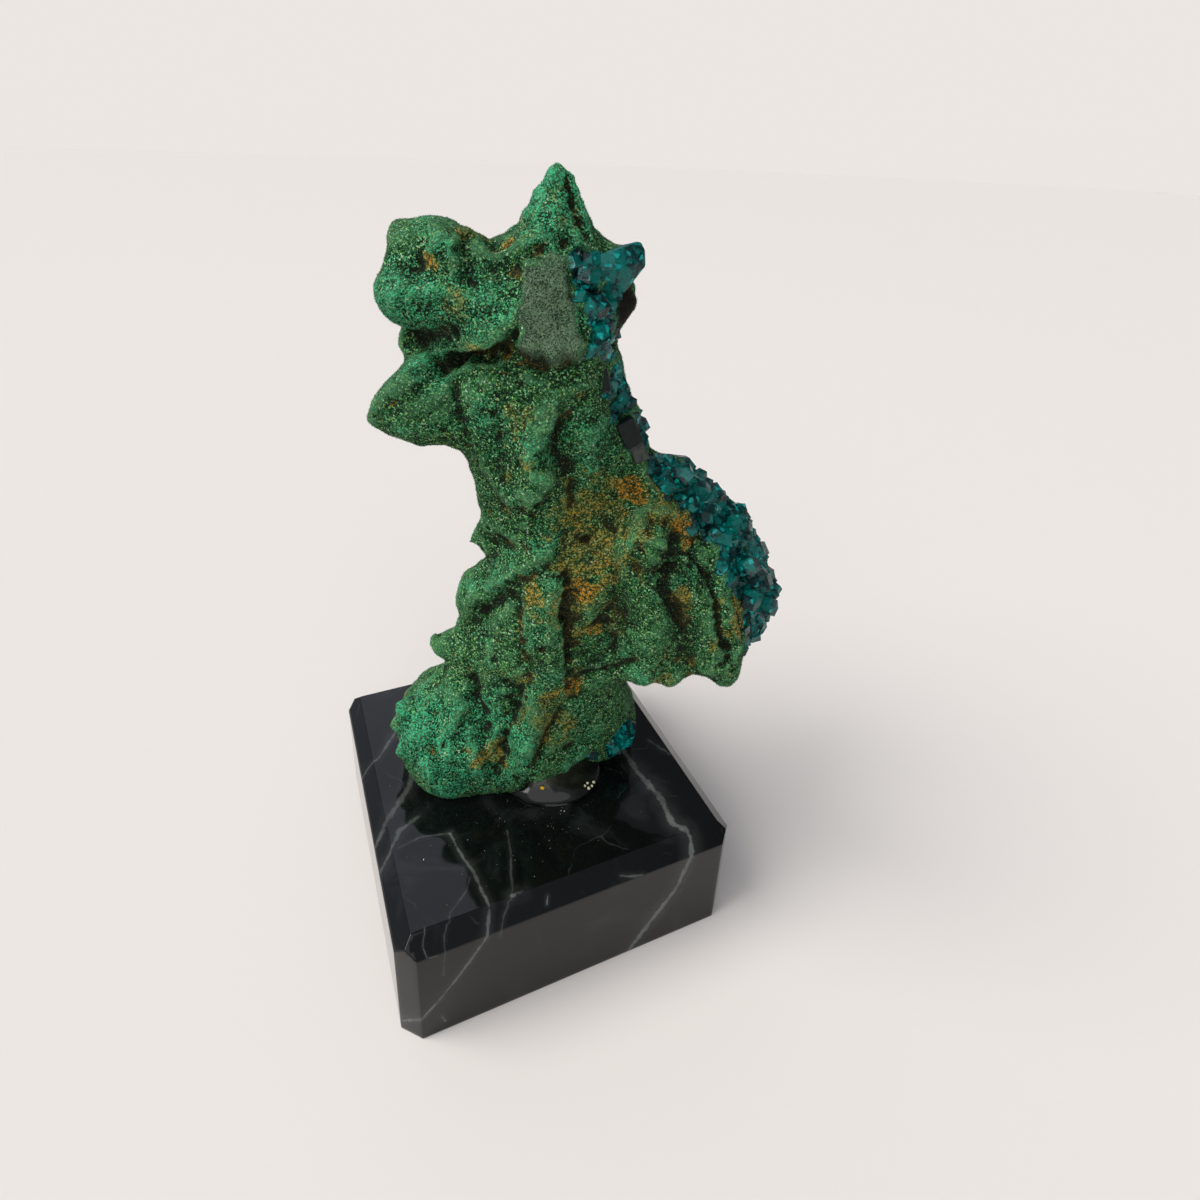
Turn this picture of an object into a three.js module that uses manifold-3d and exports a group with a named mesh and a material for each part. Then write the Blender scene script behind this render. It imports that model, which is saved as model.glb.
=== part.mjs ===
// A dioptase and malachite freeform specimen standing on a bevelled block of black marble.
//
// Three separate pieces: the polished marble plinth, the mineral specimen that grew as one piece, and the
// bead of clear adhesive that holds the specimen's foot to the plinth. Millimetres, +Z up. The origin is
// the centre of the plinth's underside and +Y points to its back.

import * as THREE from "three";
import { ConvexGeometry } from "three/addons/geometries/ConvexGeometry.js";
import { MarchingCubes } from "three/addons/objects/MarchingCubes.js";
import { mergeVertices } from "three/addons/utils/BufferGeometryUtils.js";
import Module from "manifold-3d";

// --- Driving dimensions -------------------------------------------------------------------------------

const PLINTH_SIDE = 80;
const PLINTH_HEIGHT = 29;
const TOP_BEVEL = 3.6; // both legs of the 45 degree bevel round the top face
const CORNER_CUT = 3.9; // both legs of the 45 degree cut down each upright edge
const JOINT_GAP = 0.3; // clearance between neighbouring pieces
const SPECIMEN_TURN = -24; // degrees that the specimen is turned on the plinth, about +Z
const FOOT_LEVEL = PLINTH_HEIGHT + JOINT_GAP; // height of the flat that the specimen rests on

const CELL = 2.8; // edge of one marching cube
const GRID = 64; // marching cubes along each side; a power of two keeps the shared corners exact
const FIELD_CENTRE = new THREE.Vector3(14, 2, 101); // of the marching cubes, in the specimen's frame
const LEAST_FIELD = 0.15; // keeps the surface this far from every grid point, so no sliver collapses
const BLEND = 4.5; // how far two neighbouring masses flow into each other

const ADHESIVE = { centre: [9, -5, PLINTH_HEIGHT], radii: [12.5, 11.5, 7.5] };

// The specimen as tapered masses that flow together, in its own frame: x across the front, y away from
// the front, z above the plinth's underside. Each one runs from a first ball to a second ball.
const MASSES = [
  // the trunk, from the foot up to the head
  { name: "foot", from: [2, 5, 34], r1: 17.5, to: [4, 3, 60], r2: 15 },
  { name: "waist", from: [4, 3, 60], r1: 15, to: [8, 2, 88], r2: 15 },
  { name: "chest", from: [8, 2, 88], r1: 15, to: [8, 2, 116], r2: 12.5 },
  { name: "throat", from: [1, 0, 124], r1: 9, to: [1.5, 0, 99], r2: 9.5 },
  { name: "throat_top", from: [-6, -3, 121], r1: 8, to: [0, 0, 107], r2: 9 },
  { name: "neck", from: [7, 2, 116], r1: 12.5, to: [5, 1, 145], r2: 12.5 },
  { name: "nape", from: [13, 3, 134], r1: 6.5, to: [19, 3, 117], r2: 8 },
  // the foot
  { name: "foot_bulb", from: [-18.8, -1, 40.5], r1: 12.9, to: [-5, 2, 46], r2: 13 },
  { name: "foot_toe", from: [-17, -6, 33.5], r1: 10.8, to: [-6, -1, 33], r2: 13 },
  { name: "foot_heel", from: [-24, 8, 36], r1: 9, to: [-6, 12, 34], r2: 11 },
  { name: "foot_right", from: [17, 7, 37], r1: 12.5, to: [12, 4, 55], r2: 12 },
  { name: "foot_column", from: [3, -6, 38], r1: 8.5, to: [4, -7, 78], r2: 7.5 },
  // knobs and points down the left side
  { name: "hip", from: [-13, 0, 53], r1: 7.6, to: [-8, 0, 64], r2: 7 },
  { name: "hip_knob", from: [-10, -1, 62], r1: 6, to: [-20.5, -2, 65.5], r2: 3 },
  { name: "flank", from: [-2, 0, 78], r1: 8, to: [-10.5, 0, 79.5], r2: 4 },
  { name: "flank_low", from: [-10.5, 0, 79], r1: 4, to: [-10, 0, 69], r2: 5 },
  { name: "flank_point", from: [-1, 0, 93], r1: 6, to: [-12, -1, 93.5], r2: 1.6 },
  // the wing that carries the dioptase
  { name: "wing", from: [12, 2, 90], r1: 14, to: [34, 3, 88], r2: 12 },
  { name: "wing_end", from: [34, 3, 88], r1: 12, to: [48, 4, 85], r2: 9 },
  { name: "wing_crest", from: [20, 3, 108], r1: 9, to: [32, 4, 104], r2: 8.5 },
  { name: "wing_edge", from: [32, 4, 104], r1: 8.5, to: [46, 4, 93], r2: 8.2 },
  { name: "wing_tip", from: [46, 3, 85], r1: 9, to: [56, 3, 80], r2: 4.5 },
  { name: "wing_heel", from: [46, 2, 80], r1: 8, to: [53.6, 2, 73], r2: 5.4 },
  { name: "wing_underside", from: [18, 1, 68], r1: 12, to: [44, 1, 77], r2: 10 },
  { name: "wing_bulb", from: [26, -6, 98], r1: 9, to: [31, -9, 93], r2: 8 },
  { name: "wing_column", from: [31, -9, 90], r1: 6, to: [28, -8, 68], r2: 6 },
  { name: "wing_rib", from: [41, -5, 92], r1: 5.5, to: [43, -7, 74], r2: 6 },
  { name: "under_point", from: [42, -4, 78], r1: 9, to: [48, -9, 63.5], r2: 2.5 },
  { name: "under_lobe", from: [31, -4, 74], r1: 8, to: [35, -8, 66], r2: 4.5 },
  // the head
  { name: "crown_base", from: [0, 2, 149], r1: 10, to: [6, 1, 155], r2: 9 },
  { name: "crown_point", from: [6, 1, 155], r1: 9, to: [6, 0, 170.5], r2: 2.8 },
  { name: "saddle", from: [-6, 0, 152], r1: 7, to: [0, 0, 156], r2: 7 },
  { name: "left_crest", from: [-6, -2, 151], r1: 8.5, to: [-18, -2, 157], r2: 6.2 },
  { name: "left_tip", from: [-18, -2, 157], r1: 5.2, to: [-25, -2, 159.5], r2: 1.6 },
  { name: "left_bulge", from: [-8, -4, 148], r1: 9, to: [-23, -3, 149], r2: 6.4 },
  { name: "left_lobe", from: [-10, 3, 137], r1: 7, to: [-24, 1, 138], r2: 3.4 },
  { name: "cheek", from: [-2, -4, 129], r1: 9.5, to: [-21, -5, 127], r2: 7.2 },
  { name: "cheek_tip", from: [-21, -5, 126.5], r1: 7, to: [-29.2, -5, 123.6], r2: 3.3 },
  { name: "brow", from: [4, -8, 149], r1: 6, to: [11, -7, 146], r2: 6 },
  { name: "right_horn", from: [12, 2, 151], r1: 5, to: [21.2, 2, 157.2], r2: 2.4 },
  { name: "right_knob", from: [8, 4, 147], r1: 9, to: [16.8, 4, 147.5], r2: 5 },
  { name: "nose", from: [7, -9, 126], r1: 5, to: [3, -10, 113], r2: 4.5 },
  { name: "face", from: [6, -5, 146], r1: 8, to: [8, -6, 126], r2: 8 },
  // the back
  { name: "back_head", from: [-10, 7, 150], r1: 7, to: [6, 9, 138], r2: 8 },
  { name: "back_rib", from: [8, 11, 128], r1: 6, to: [16, 13, 92], r2: 8 },
  { name: "back_swell", from: [0, 13, 84], r1: 8, to: [10, 14, 52], r2: 10 },
  { name: "back_wing", from: [22, 11, 88], r1: 8, to: [40, 11, 80], r2: 6 },
];

// Rounded hollows worn into the masses, in the same form.
const HOLLOWS = [
  { name: "mouth", from: [-26, -17, 138.5], r1: 4.5, to: [-3, -17.5, 137], r2: 3.5 },
  { name: "nose_valley", from: [13.5, -15, 129], r1: 4, to: [12, -18.5, 108], r2: 3.5 },
  { name: "chest_valley", from: [14, -19, 96], r1: 4, to: [17, -17, 66], r2: 4.5 },
  { name: "wing_cleft", from: [37, -16, 92], r1: 3.4, to: [38, -15, 72], r2: 3.6 },
  { name: "crest_notch", from: [-7, -14, 160], r1: 4, to: [-6, 6, 165], r2: 4 },
  { name: "back_furrow", from: [-2, 21, 128], r1: 6, to: [-8, 20, 98], r2: 6 },
];

const MATERIALS = {
  marble: new THREE.MeshStandardMaterial({ color: 0x0d0f10, roughness: 0.12, metalness: 0 }),
  malachite: new THREE.MeshStandardMaterial({ color: 0x2f6b47, roughness: 0.85, metalness: 0 }),
  adhesive: new THREE.MeshStandardMaterial({ color: 0xcfd2c8, roughness: 0.1, metalness: 0 }),
};

// --- Solids -------------------------------------------------------------------------------------------

const wasm = await Module();
wasm.setup();

// A closed geometry as a manifold-3d solid.
function solidFrom(geometry) {
  const plain = geometry.clone();
  for (const name of ["normal", "uv"]) plain.deleteAttribute(name);
  const merged = mergeVertices(plain, 1e-4);
  return new wasm.Manifold(
    new wasm.Mesh({
      numProp: 3,
      vertProperties: merged.attributes.position.array,
      triVerts: new Uint32Array(merged.index.array),
    }),
  );
}

// A manifold-3d solid as a geometry.
function geometryFrom(solid) {
  const { vertProperties, triVerts } = solid.getMesh();
  const geometry = new THREE.BufferGeometry();
  geometry.setAttribute("position", new THREE.BufferAttribute(vertProperties, 3));
  geometry.setIndex(new THREE.BufferAttribute(triVerts, 1));
  geometry.computeVertexNormals();
  return geometry;
}

// A box between two corners.
function boxSolid(low, high) {
  const size = high.clone().sub(low);
  const middle = low.clone().add(high).multiplyScalar(0.5);
  return solidFrom(new THREE.BoxGeometry(...size).translate(...middle));
}

// --- The marble plinth --------------------------------------------------------------------------------

// The bevel runs round the top first. Each upright edge is then cut back, and the cut ends on the bevel
// in a low gable whose ridge lies on the bevel's mitre.
function plinthGeometry() {
  const half = PLINTH_SIDE / 2;
  const shoulder = PLINTH_HEIGHT - TOP_BEVEL;
  const points = [];
  for (const sx of [-1, 1]) {
    for (const sy of [-1, 1]) {
      for (const z of [0, shoulder]) {
        points.push(new THREE.Vector3(sx * (half - CORNER_CUT), sy * half, z));
        points.push(new THREE.Vector3(sx * half, sy * (half - CORNER_CUT), z));
      }
      const ridge = half - CORNER_CUT / 2;
      points.push(new THREE.Vector3(sx * ridge, sy * ridge, shoulder + CORNER_CUT / 2));
      const inner = half - TOP_BEVEL;
      points.push(new THREE.Vector3(sx * inner, sy * inner, PLINTH_HEIGHT));
    }
  }
  return new ConvexGeometry(points);
}

// --- The specimen -------------------------------------------------------------------------------------

// Distance from a point to a mass's surface, negative inside.
function massDistance(point, mass) {
  const axis = mass.to.clone().sub(mass.from);
  const along = THREE.MathUtils.clamp(
    point.clone().sub(mass.from).dot(axis) / axis.lengthSq(),
    0,
    1,
  );
  const nearest = mass.from.clone().addScaledVector(axis, along);
  return point.distanceTo(nearest) - THREE.MathUtils.lerp(mass.r1, mass.r2, along);
}

// The smaller of two distances, rounded where they are about equal.
function blended(a, b) {
  const h = Math.max(BLEND - Math.abs(a - b), 0) / BLEND;
  return Math.min(a, b) - (h * h * BLEND) / 4;
}

// Distance to a whole list of masses that flow together.
function blendDistance(point, masses) {
  return masses.reduce((distance, mass) => blended(distance, massDistance(point, mass)), Infinity);
}

// Distance to the specimen: its masses with the hollows taken out.
function specimenDistance(point, masses, hollows) {
  return -blended(-blendDistance(point, masses), blendDistance(point, hollows));
}

// The list of masses with its end points as vectors.
function withVectors(masses) {
  return masses.map((mass) => ({
    ...mass,
    from: new THREE.Vector3(...mass.from),
    to: new THREE.Vector3(...mass.to),
  }));
}

// The surface at a given distance outside the masses, as a closed geometry in the specimen's frame.
function skinGeometry(offset) {
  const masses = withVectors(MASSES);
  const hollows = withVectors(HOLLOWS);
  const cubes = new MarchingCubes(GRID, MATERIALS.malachite, false, false, 40000);
  const halfGrid = GRID / 2;
  const point = new THREE.Vector3();
  cubes.isolation = 0;
  for (let k = 0, i = 0; k < GRID; k++) {
    for (let j = 0; j < GRID; j++) {
      for (let h = 0; h < GRID; h++, i++) {
        point.set(h - halfGrid, j - halfGrid, k - halfGrid).multiplyScalar(CELL).add(FIELD_CENTRE);
        const field = offset - specimenDistance(point, masses, hollows);
        cubes.field[i] = Math.sign(field || 1) * Math.max(Math.abs(field), LEAST_FIELD);
      }
    }
  }
  cubes.update();
  const corners = cubes.positionArray.slice(0, cubes.count * 3);
  const geometry = new THREE.BufferGeometry();
  geometry.setAttribute("position", new THREE.BufferAttribute(corners, 3));
  geometry.scale(halfGrid * CELL, halfGrid * CELL, halfGrid * CELL);
  return geometry.translate(...FIELD_CENTRE);
}

// Everything above a level, for cutting a flat.
function above(level) {
  const reach = GRID * CELL;
  const low = new THREE.Vector3(-reach, -reach, level);
  return boxSolid(low, new THREE.Vector3(reach, reach, level + reach));
}

function specimenSolid() {
  return solidFrom(skinGeometry(0)).intersect(above(FOOT_LEVEL));
}

// A low dome of adhesive that fills the gap under the front of the foot.
function adhesiveSolid() {
  const dome = new THREE.SphereGeometry(1, 28, 20)
    .scale(...ADHESIVE.radii)
    .translate(...ADHESIVE.centre);
  return solidFrom(dome).intersect(above(FOOT_LEVEL)).subtract(solidFrom(skinGeometry(JOINT_GAP)));
}

// --- The object ---------------------------------------------------------------------------------------

function named(name, geometry, material) {
  const mesh = new THREE.Mesh(geometry, material);
  mesh.name = name;
  return mesh;
}

const turned = new THREE.Group();
turned.rotation.z = THREE.MathUtils.degToRad(SPECIMEN_TURN);
turned.add(named("specimen", geometryFrom(specimenSolid()), MATERIALS.malachite));
turned.add(named("adhesive_bead", geometryFrom(adhesiveSolid()), MATERIALS.adhesive));

const object = new THREE.Group();
object.add(named("plinth", plinthGeometry(), MATERIALS.marble));
object.add(turned);

export default object;
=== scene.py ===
"""A dioptase and malachite freeform standing on a bevelled black marble plinth.

The pieces are the polished plinth with its pale veins, the malachite body with its limonite stains and its
down of tiny crystals, the crust of teal dioptase grown on it, the bead of clear adhesive at the foot with
what is sealed in it, and the malachite crumbs on the plinth. Lengths are millimetres unless the text says
otherwise. The specimen's own directions are x across its front, y away from the front and z up; it stands
turned about Z on the plinth, in the row frame.
"""

import logging
import math
from collections.abc import Callable
from dataclasses import dataclass, field
from enum import Enum

import bmesh
import bpy
import numpy as np
from mathutils import Matrix, Vector


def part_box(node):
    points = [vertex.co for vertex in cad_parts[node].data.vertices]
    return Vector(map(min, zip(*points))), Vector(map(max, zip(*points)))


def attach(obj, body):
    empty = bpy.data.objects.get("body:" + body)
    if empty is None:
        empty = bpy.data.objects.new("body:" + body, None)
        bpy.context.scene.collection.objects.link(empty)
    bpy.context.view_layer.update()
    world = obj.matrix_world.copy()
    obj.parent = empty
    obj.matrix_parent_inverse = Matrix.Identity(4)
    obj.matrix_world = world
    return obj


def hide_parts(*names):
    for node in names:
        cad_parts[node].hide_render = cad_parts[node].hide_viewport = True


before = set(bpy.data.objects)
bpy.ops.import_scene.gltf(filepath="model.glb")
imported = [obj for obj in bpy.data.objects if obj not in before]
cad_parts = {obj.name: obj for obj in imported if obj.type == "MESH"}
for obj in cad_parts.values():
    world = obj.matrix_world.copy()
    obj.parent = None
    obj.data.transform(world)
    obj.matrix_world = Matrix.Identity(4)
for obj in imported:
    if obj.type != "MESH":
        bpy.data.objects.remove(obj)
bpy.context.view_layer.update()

LOG = logging.getLogger("specimen")
MM = 0.001
SPECIMEN_TURN = math.radians(-24.0)
PLINTH_TOP = 29.0
FAR = 1e9

Point = tuple[float, float, float]
Colour = tuple[float, float, float]
Rows = np.ndarray
Mesh = bpy.types.Mesh
Piece = bpy.types.Object
Form = bmesh.types.BMesh
Node = bpy.types.Node
Socket = bpy.types.NodeSocket


# --- Small tools --------------------------------------------------------------------------------------


def turned(points: Rows, angle: float) -> Rows:
    """Turn points about the Z axis.

    Args:
        points: Rows of x, y, z.
        angle: Turn in radians, counterclockwise seen from above.

    Returns:
        The turned rows.
    """
    c, s = math.cos(angle), math.sin(angle)
    return points @ np.array([[c, s, 0.0], [-s, c, 0.0], [0.0, 0.0, 1.0]])


def smoothstep(low: float, high: float, value: Rows) -> Rows:
    """Rise smoothly from 0 at low to 1 at high."""
    t = np.clip((value - low) / (high - low), 0.0, 1.0)
    return t * t * (3.0 - 2.0 * t)


def scene_object(name: str, data: bpy.types.ID) -> Piece:
    """Put a mesh, a lamp or a camera into the scene as a new object at the origin.

    Args:
        name: The object's name.
        data: The mesh, lamp or camera.

    Returns:
        The object.
    """
    piece = bpy.data.objects.new(name, data)
    bpy.context.scene.collection.objects.link(piece)
    return piece


def evaluated_mesh(piece: Piece) -> Mesh:
    """Give a piece's mesh with its modifiers applied, and take them off the piece.

    Args:
        piece: The piece.

    Returns:
        A new mesh.
    """
    bpy.context.view_layer.update()
    graph = bpy.context.evaluated_depsgraph_get()
    mesh = bpy.data.meshes.new_from_object(piece.evaluated_get(graph))
    piece.modifiers.clear()
    return mesh


def copy_of_node(node: str) -> Form:
    """Copy a CAD node's mesh into a bmesh with its doubles merged.

    Args:
        node: The CAD node's name.

    Returns:
        A closed bmesh in metres, in the row frame.
    """
    form = bmesh.new()
    form.from_mesh(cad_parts[node].data)
    bmesh.ops.remove_doubles(form, verts=form.verts, dist=1e-6)
    bmesh.ops.recalc_face_normals(form, faces=form.faces)
    return form


def mesh_from(form: Form, name: str) -> Mesh:
    """Write a bmesh into a new mesh and free it.

    Args:
        form: The bmesh.
        name: The mesh's name.

    Returns:
        The mesh.
    """
    mesh = bpy.data.meshes.new(name)
    form.to_mesh(mesh)
    form.free()
    return mesh


class Noise:
    """Seeded solid noise for shaping, evaluated on rows of points in millimetres."""

    @staticmethod
    def _hash(cell: Rows, seed: int) -> Rows:
        """Scatter whole-number cells into 32 random bits each.

        Args:
            cell: Rows of three whole numbers.
            seed: Which noise.

        Returns:
            One whole number for each row.
        """
        k = cell.astype(np.uint64)
        h = k[:, 0] * np.uint64(374761393) + k[:, 1] * np.uint64(668265263)
        h = h + k[:, 2] * np.uint64(2147483647) + np.uint64(seed * 1013904223 + 7)
        h = (h ^ (h >> np.uint64(13))) * np.uint64(1274126177)
        h = (h ^ (h >> np.uint64(16))) * np.uint64(2246822519)
        return (h ^ (h >> np.uint64(15))) & np.uint64(0xFFFFFFFF)

    @classmethod
    def soft(cls, points: Rows, size: float, seed: int) -> Rows:
        """Gradient noise.

        Args:
            points: Rows of x, y, z in millimetres.
            size: Spacing of the noise's lattice.
            seed: Which noise.

        Returns:
            One value for each row, mostly within -1 and 1.
        """
        q = points / size + 4096.37 + seed * 3.71
        base = np.floor(q)
        f = q - base
        u = f * f * f * (f * (f * 6.0 - 15.0) + 10.0)
        total = np.zeros(len(points))
        for corner in np.ndindex(2, 2, 2):
            c = np.array(corner, float)
            h = cls._hash(base + c, seed)
            g = np.stack([(h >> np.uint64(s)) & np.uint64(1023) for s in (0, 10, 20)], 1)
            slope = g.astype(float) / 511.5 - 1.0
            weight = np.prod(np.where(c > 0.5, u, 1.0 - u), axis=1)
            total += weight * np.sum(slope * (f - c), axis=1)
        return total * 1.6

    @classmethod
    def _stack(cls, points: Rows, size: float, seeds: range, wave: Callable[[Rows], Rows]) -> Rows:
        """Add layers of soft noise, each half as wide and half as strong as the last.

        Args:
            points: Rows of x, y, z in millimetres.
            size: The widest layer's size.
            seeds: Each layer's seed.
            wave: What is made of each layer's noise.

        Returns:
            One value for each row.
        """
        total = np.zeros(len(points))
        for k, seed in enumerate(seeds):
            total += wave(cls.soft(points, size / 2**k, seed)) * 0.5**k
        return total

    @classmethod
    def layered(cls, points: Rows, size: float, seed: int, layers: int = 3) -> Rows:
        """Give cloudy noise around 0."""
        return cls._stack(points, size, range(seed, seed + 11 * layers, 11), lambda n: n)

    @classmethod
    def ridged(cls, points: Rows, size: float, seed: int) -> Rows:
        """Give noise with sharp crests and round valleys, from about -1 to 1."""
        return cls._stack(points, size, range(seed, seed + 26, 13), lambda n: 1.0 - 2.0 * np.abs(n)) / 1.5

    @classmethod
    def pillows(cls, points: Rows, size: float, seed: int) -> Rows:
        """Give round swellings with sharp creases between them, from about -0.5 to 1."""
        return cls._stack(points, size, range(seed, seed + 34, 17), lambda n: np.abs(n) * 2.6 - 0.75) / 1.5

    @classmethod
    def warp(cls, points: Rows, size: float, seeds: tuple[int, ...], reach: float) -> Rows:
        """Give three soft noises side by side, to shift points with."""
        return np.stack([cls.soft(points, size, s) for s in seeds], 1) * reach


class Skin:
    """Reading, writing and smoothing a dense skin, in millimetres."""

    seat = PLINTH_TOP + 0.03
    sole = PLINTH_TOP + 0.6

    @staticmethod
    def remesh(piece: Piece, voxel: float) -> None:
        """Lay an even skin over the piece.

        Args:
            piece: The piece.
            voxel: The skin's fineness.
        """
        skin = piece.modifiers.new("skin", "REMESH")
        skin.mode = "VOXEL"
        skin.voxel_size = voxel * MM
        piece.data = evaluated_mesh(piece)

    @staticmethod
    def raw(mesh: Mesh) -> tuple[Rows, Rows]:
        """Read the skin in the row frame.

        Args:
            mesh: The skin.

        Returns:
            The vertices and their normals.
        """
        place = np.empty(len(mesh.vertices) * 3, np.float32)
        mesh.vertices.foreach_get("co", place)
        facing = np.empty_like(place)
        mesh.vertex_normals.foreach_get("vector", facing)
        return place.reshape(-1, 3).astype(float) / MM, facing.reshape(-1, 3).astype(float)

    @classmethod
    def read(cls, mesh: Mesh) -> tuple[Rows, Rows]:
        """Give the vertices and their normals in the specimen's own directions."""
        place, facing = cls.raw(mesh)
        return turned(place, -SPECIMEN_TURN), turned(facing, -SPECIMEN_TURN)

    @classmethod
    def write(cls, mesh: Mesh, place: Rows) -> None:
        """Put the vertices back, with the lowest of them seated on the plinth.

        Args:
            mesh: The skin.
            place: Its vertices in the specimen's own directions.
        """
        place = place.copy()
        place[:, 2] = np.where(place[:, 2] < cls.sole, cls.seat, place[:, 2])
        world = turned(place, SPECIMEN_TURN) * MM
        mesh.vertices.foreach_set("co", world.astype(np.float32).ravel())
        mesh.update()

    @staticmethod
    def store(mesh: Mesh, name: str, values: Rows) -> None:
        """Store one, three or four numbers for each vertex.

        Args:
            mesh: The skin.
            name: The attribute's name.
            values: The numbers, one row for each vertex.
        """
        kinds = {1: ("FLOAT", "value"), 3: ("FLOAT_VECTOR", "vector"), 4: ("FLOAT_COLOR", "color")}
        kind, slot = kinds[values.size // len(values)]
        layer = mesh.attributes.new(name, kind, "POINT")
        layer.data.foreach_set(slot, values.astype(np.float32).ravel())

    @staticmethod
    def links(mesh: Mesh) -> Rows:
        """Read the mesh's edges.

        Args:
            mesh: The mesh.

        Returns:
            Rows of two vertex numbers.
        """
        edges = np.empty(len(mesh.edges) * 2, np.int32)
        mesh.edges.foreach_get("vertices", edges)
        return edges.reshape(-1, 2)

    @staticmethod
    def relaxed(values: Rows, links: Rows, rounds: int) -> Rows:
        """Average each vertex's values with its neighbours', again and again.

        Args:
            values: One row for each vertex.
            links: The mesh's edges.
            rounds: How many times.

        Returns:
            The averaged values.
        """
        a, b = links[:, 0], links[:, 1]
        count = len(values)
        degree = np.bincount(a, minlength=count) + np.bincount(b, minlength=count)
        values = values.reshape(count, -1).copy()
        for _ in range(rounds):
            for k in range(values.shape[1]):
                column = values[:, k]
                total = np.bincount(a, column[b], count) + np.bincount(b, column[a], count)
                values[:, k] = 0.5 * column + 0.5 * total / np.maximum(degree, 1)
        return values


class Bench:
    """A small bench for wiring a node tree."""

    def __init__(self, tree: bpy.types.NodeTree) -> None:
        """Take the tree to wire."""
        self.tree = tree

    def add(self, kind: str, inputs: dict[int | str, object] | None = None, **settings: object) -> Node:
        """Add a node.

        Args:
            kind: The node's type.
            inputs: What to put on its inputs.
            settings: Its own properties.

        Returns:
            The node.
        """
        node = self.tree.nodes.new(kind)
        for key, value in settings.items():
            setattr(node, key, value)
        for key, value in (inputs or {}).items():
            self.put(node.inputs[key], value)
        return node

    def put(self, into: Socket, value: object) -> None:
        """Link a socket to an input, or set a constant on it.

        Args:
            into: The input.
            value: The socket, number, text, vector or colour.
        """
        if isinstance(value, Socket):
            self.tree.links.new(value, into)
        elif isinstance(value, tuple) and len(value) == 3 and into.type == "RGBA":
            into.default_value = (*value, 1.0)
        else:
            into.default_value = value


class Shader(Bench):
    """A bench for one material, with a Principled shader on its output."""

    def __init__(self, name: str) -> None:
        """Start the material.

        Args:
            name: The material's name.
        """
        self.material = bpy.data.materials.new(name)
        self.material.use_nodes = True
        super().__init__(self.material.node_tree)
        self.tree.nodes.clear()
        self.surface = self.add("ShaderNodeBsdfPrincipled")
        self.output = self.add("ShaderNodeOutputMaterial", {"Surface": self.surface.outputs[0]})
        self.place = self.add("ShaderNodeTexCoord").outputs["Object"]

    def math(self, operation: str, *numbers: object, clamp: bool = False) -> Socket:
        """Combine numbers."""
        node = self.add("ShaderNodeMath", dict(enumerate(numbers)), operation=operation, use_clamp=clamp)
        return node.outputs[0]

    def plus(self, a: object, b: object) -> Socket:
        """Add two numbers."""
        return self.math("ADD", a, b)

    def minus(self, a: object, b: object) -> Socket:
        """Take b from a."""
        return self.math("SUBTRACT", a, b)

    def times(self, a: object, b: object) -> Socket:
        """Multiply two numbers."""
        return self.math("MULTIPLY", a, b)

    def vector(self, operation: str, inputs: dict[int | str, object]) -> Node:
        """Combine vectors and give the node, which may have a Value output too."""
        return self.add("ShaderNodeVectorMath", inputs, operation=operation)

    def span(
        self, value: object, low: float, high: float, to_low: float = 0.0, to_high: float = 1.0
    ) -> Socket:
        """Map a number smoothly from one span to another."""
        ends = {"Value": value, "From Min": low, "From Max": high, "To Min": to_low, "To Max": to_high}
        return self.add("ShaderNodeMapRange", ends, interpolation_type="SMOOTHSTEP").outputs["Result"]

    def noise(self, size: float, detail: float = 2.0, rough: float = 0.5, warp: float = 0.0) -> Socket:
        """Solid noise from 0 to 1 whose features are about that many millimetres wide."""
        knobs = {"Scale": 1.0 / (size * MM), "Detail": detail, "Roughness": rough, "Distortion": warp}
        return self.add("ShaderNodeTexNoise", {"Vector": self.place, **knobs}).outputs["Fac"]

    def swing(self, size: float, detail: float = 2.0, rough: float = 0.5, warp: float = 0.0) -> Socket:
        """The same noise, from -0.5 to 0.5."""
        return self.minus(self.noise(size, detail, rough, warp), 0.5)

    def cells(self, size: float, feature: str = "F1", where: object = None) -> Node:
        """Voronoi cells about that many millimetres wide."""
        knobs = {"Vector": where or self.place, "Scale": 1.0 / (size * MM)}
        return self.add("ShaderNodeTexVoronoi", knobs, feature=feature)

    def channels(self, colour: Socket) -> list[Socket]:
        """Split a colour into its three numbers."""
        return self.add("ShaderNodeSeparateColor", {0: colour}).outputs[:]

    def blend(self, amount: object, a: object, b: object, how: str = "MIX") -> Socket:
        """Mix two colours."""
        kinds = {"data_type": "RGBA", "blend_type": how, "clamp_factor": True}
        return self.add("ShaderNodeMix", {"Factor": amount, 6: a, 7: b}, **kinds).outputs[2]

    def attribute(self, name: str) -> Node:
        """Read one of the mesh's own attributes."""
        return self.add("ShaderNodeAttribute", attribute_name=name)

    def bump(self, height: object, depth: float, strength: float, under: object = None) -> Socket:
        """Turn a height from 0 to 1 into a normal.

        Args:
            height: The height.
            depth: How many millimetres a height of 1 stands for.
            strength: How strongly it shows.
            under: A bump that it lies on top of.

        Returns:
            The normal.
        """
        knobs = {"Strength": strength, "Distance": depth * MM, "Height": height}
        if under is not None:
            knobs["Normal"] = under
        return self.add("ShaderNodeBump", knobs).outputs["Normal"]

    def set(self, **sockets: object) -> None:
        """Set the Principled shader's inputs, with underscores for the spaces in their names."""
        for key, value in sockets.items():
            self.put(self.surface.inputs[key.replace("_", " ")], value)


# --- The marble plinth --------------------------------------------------------------------------------


@dataclass(frozen=True)
class Vein:
    """One pale vein in the marble, as a line over the plinth's faces."""

    name: str
    width: float
    strength: float
    points: tuple[Point, ...]

    @property
    def layer(self) -> str:
        """The name of the mesh attribute that carries the vein."""
        return "vein_" + self.name.replace(" ", "_")


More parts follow.
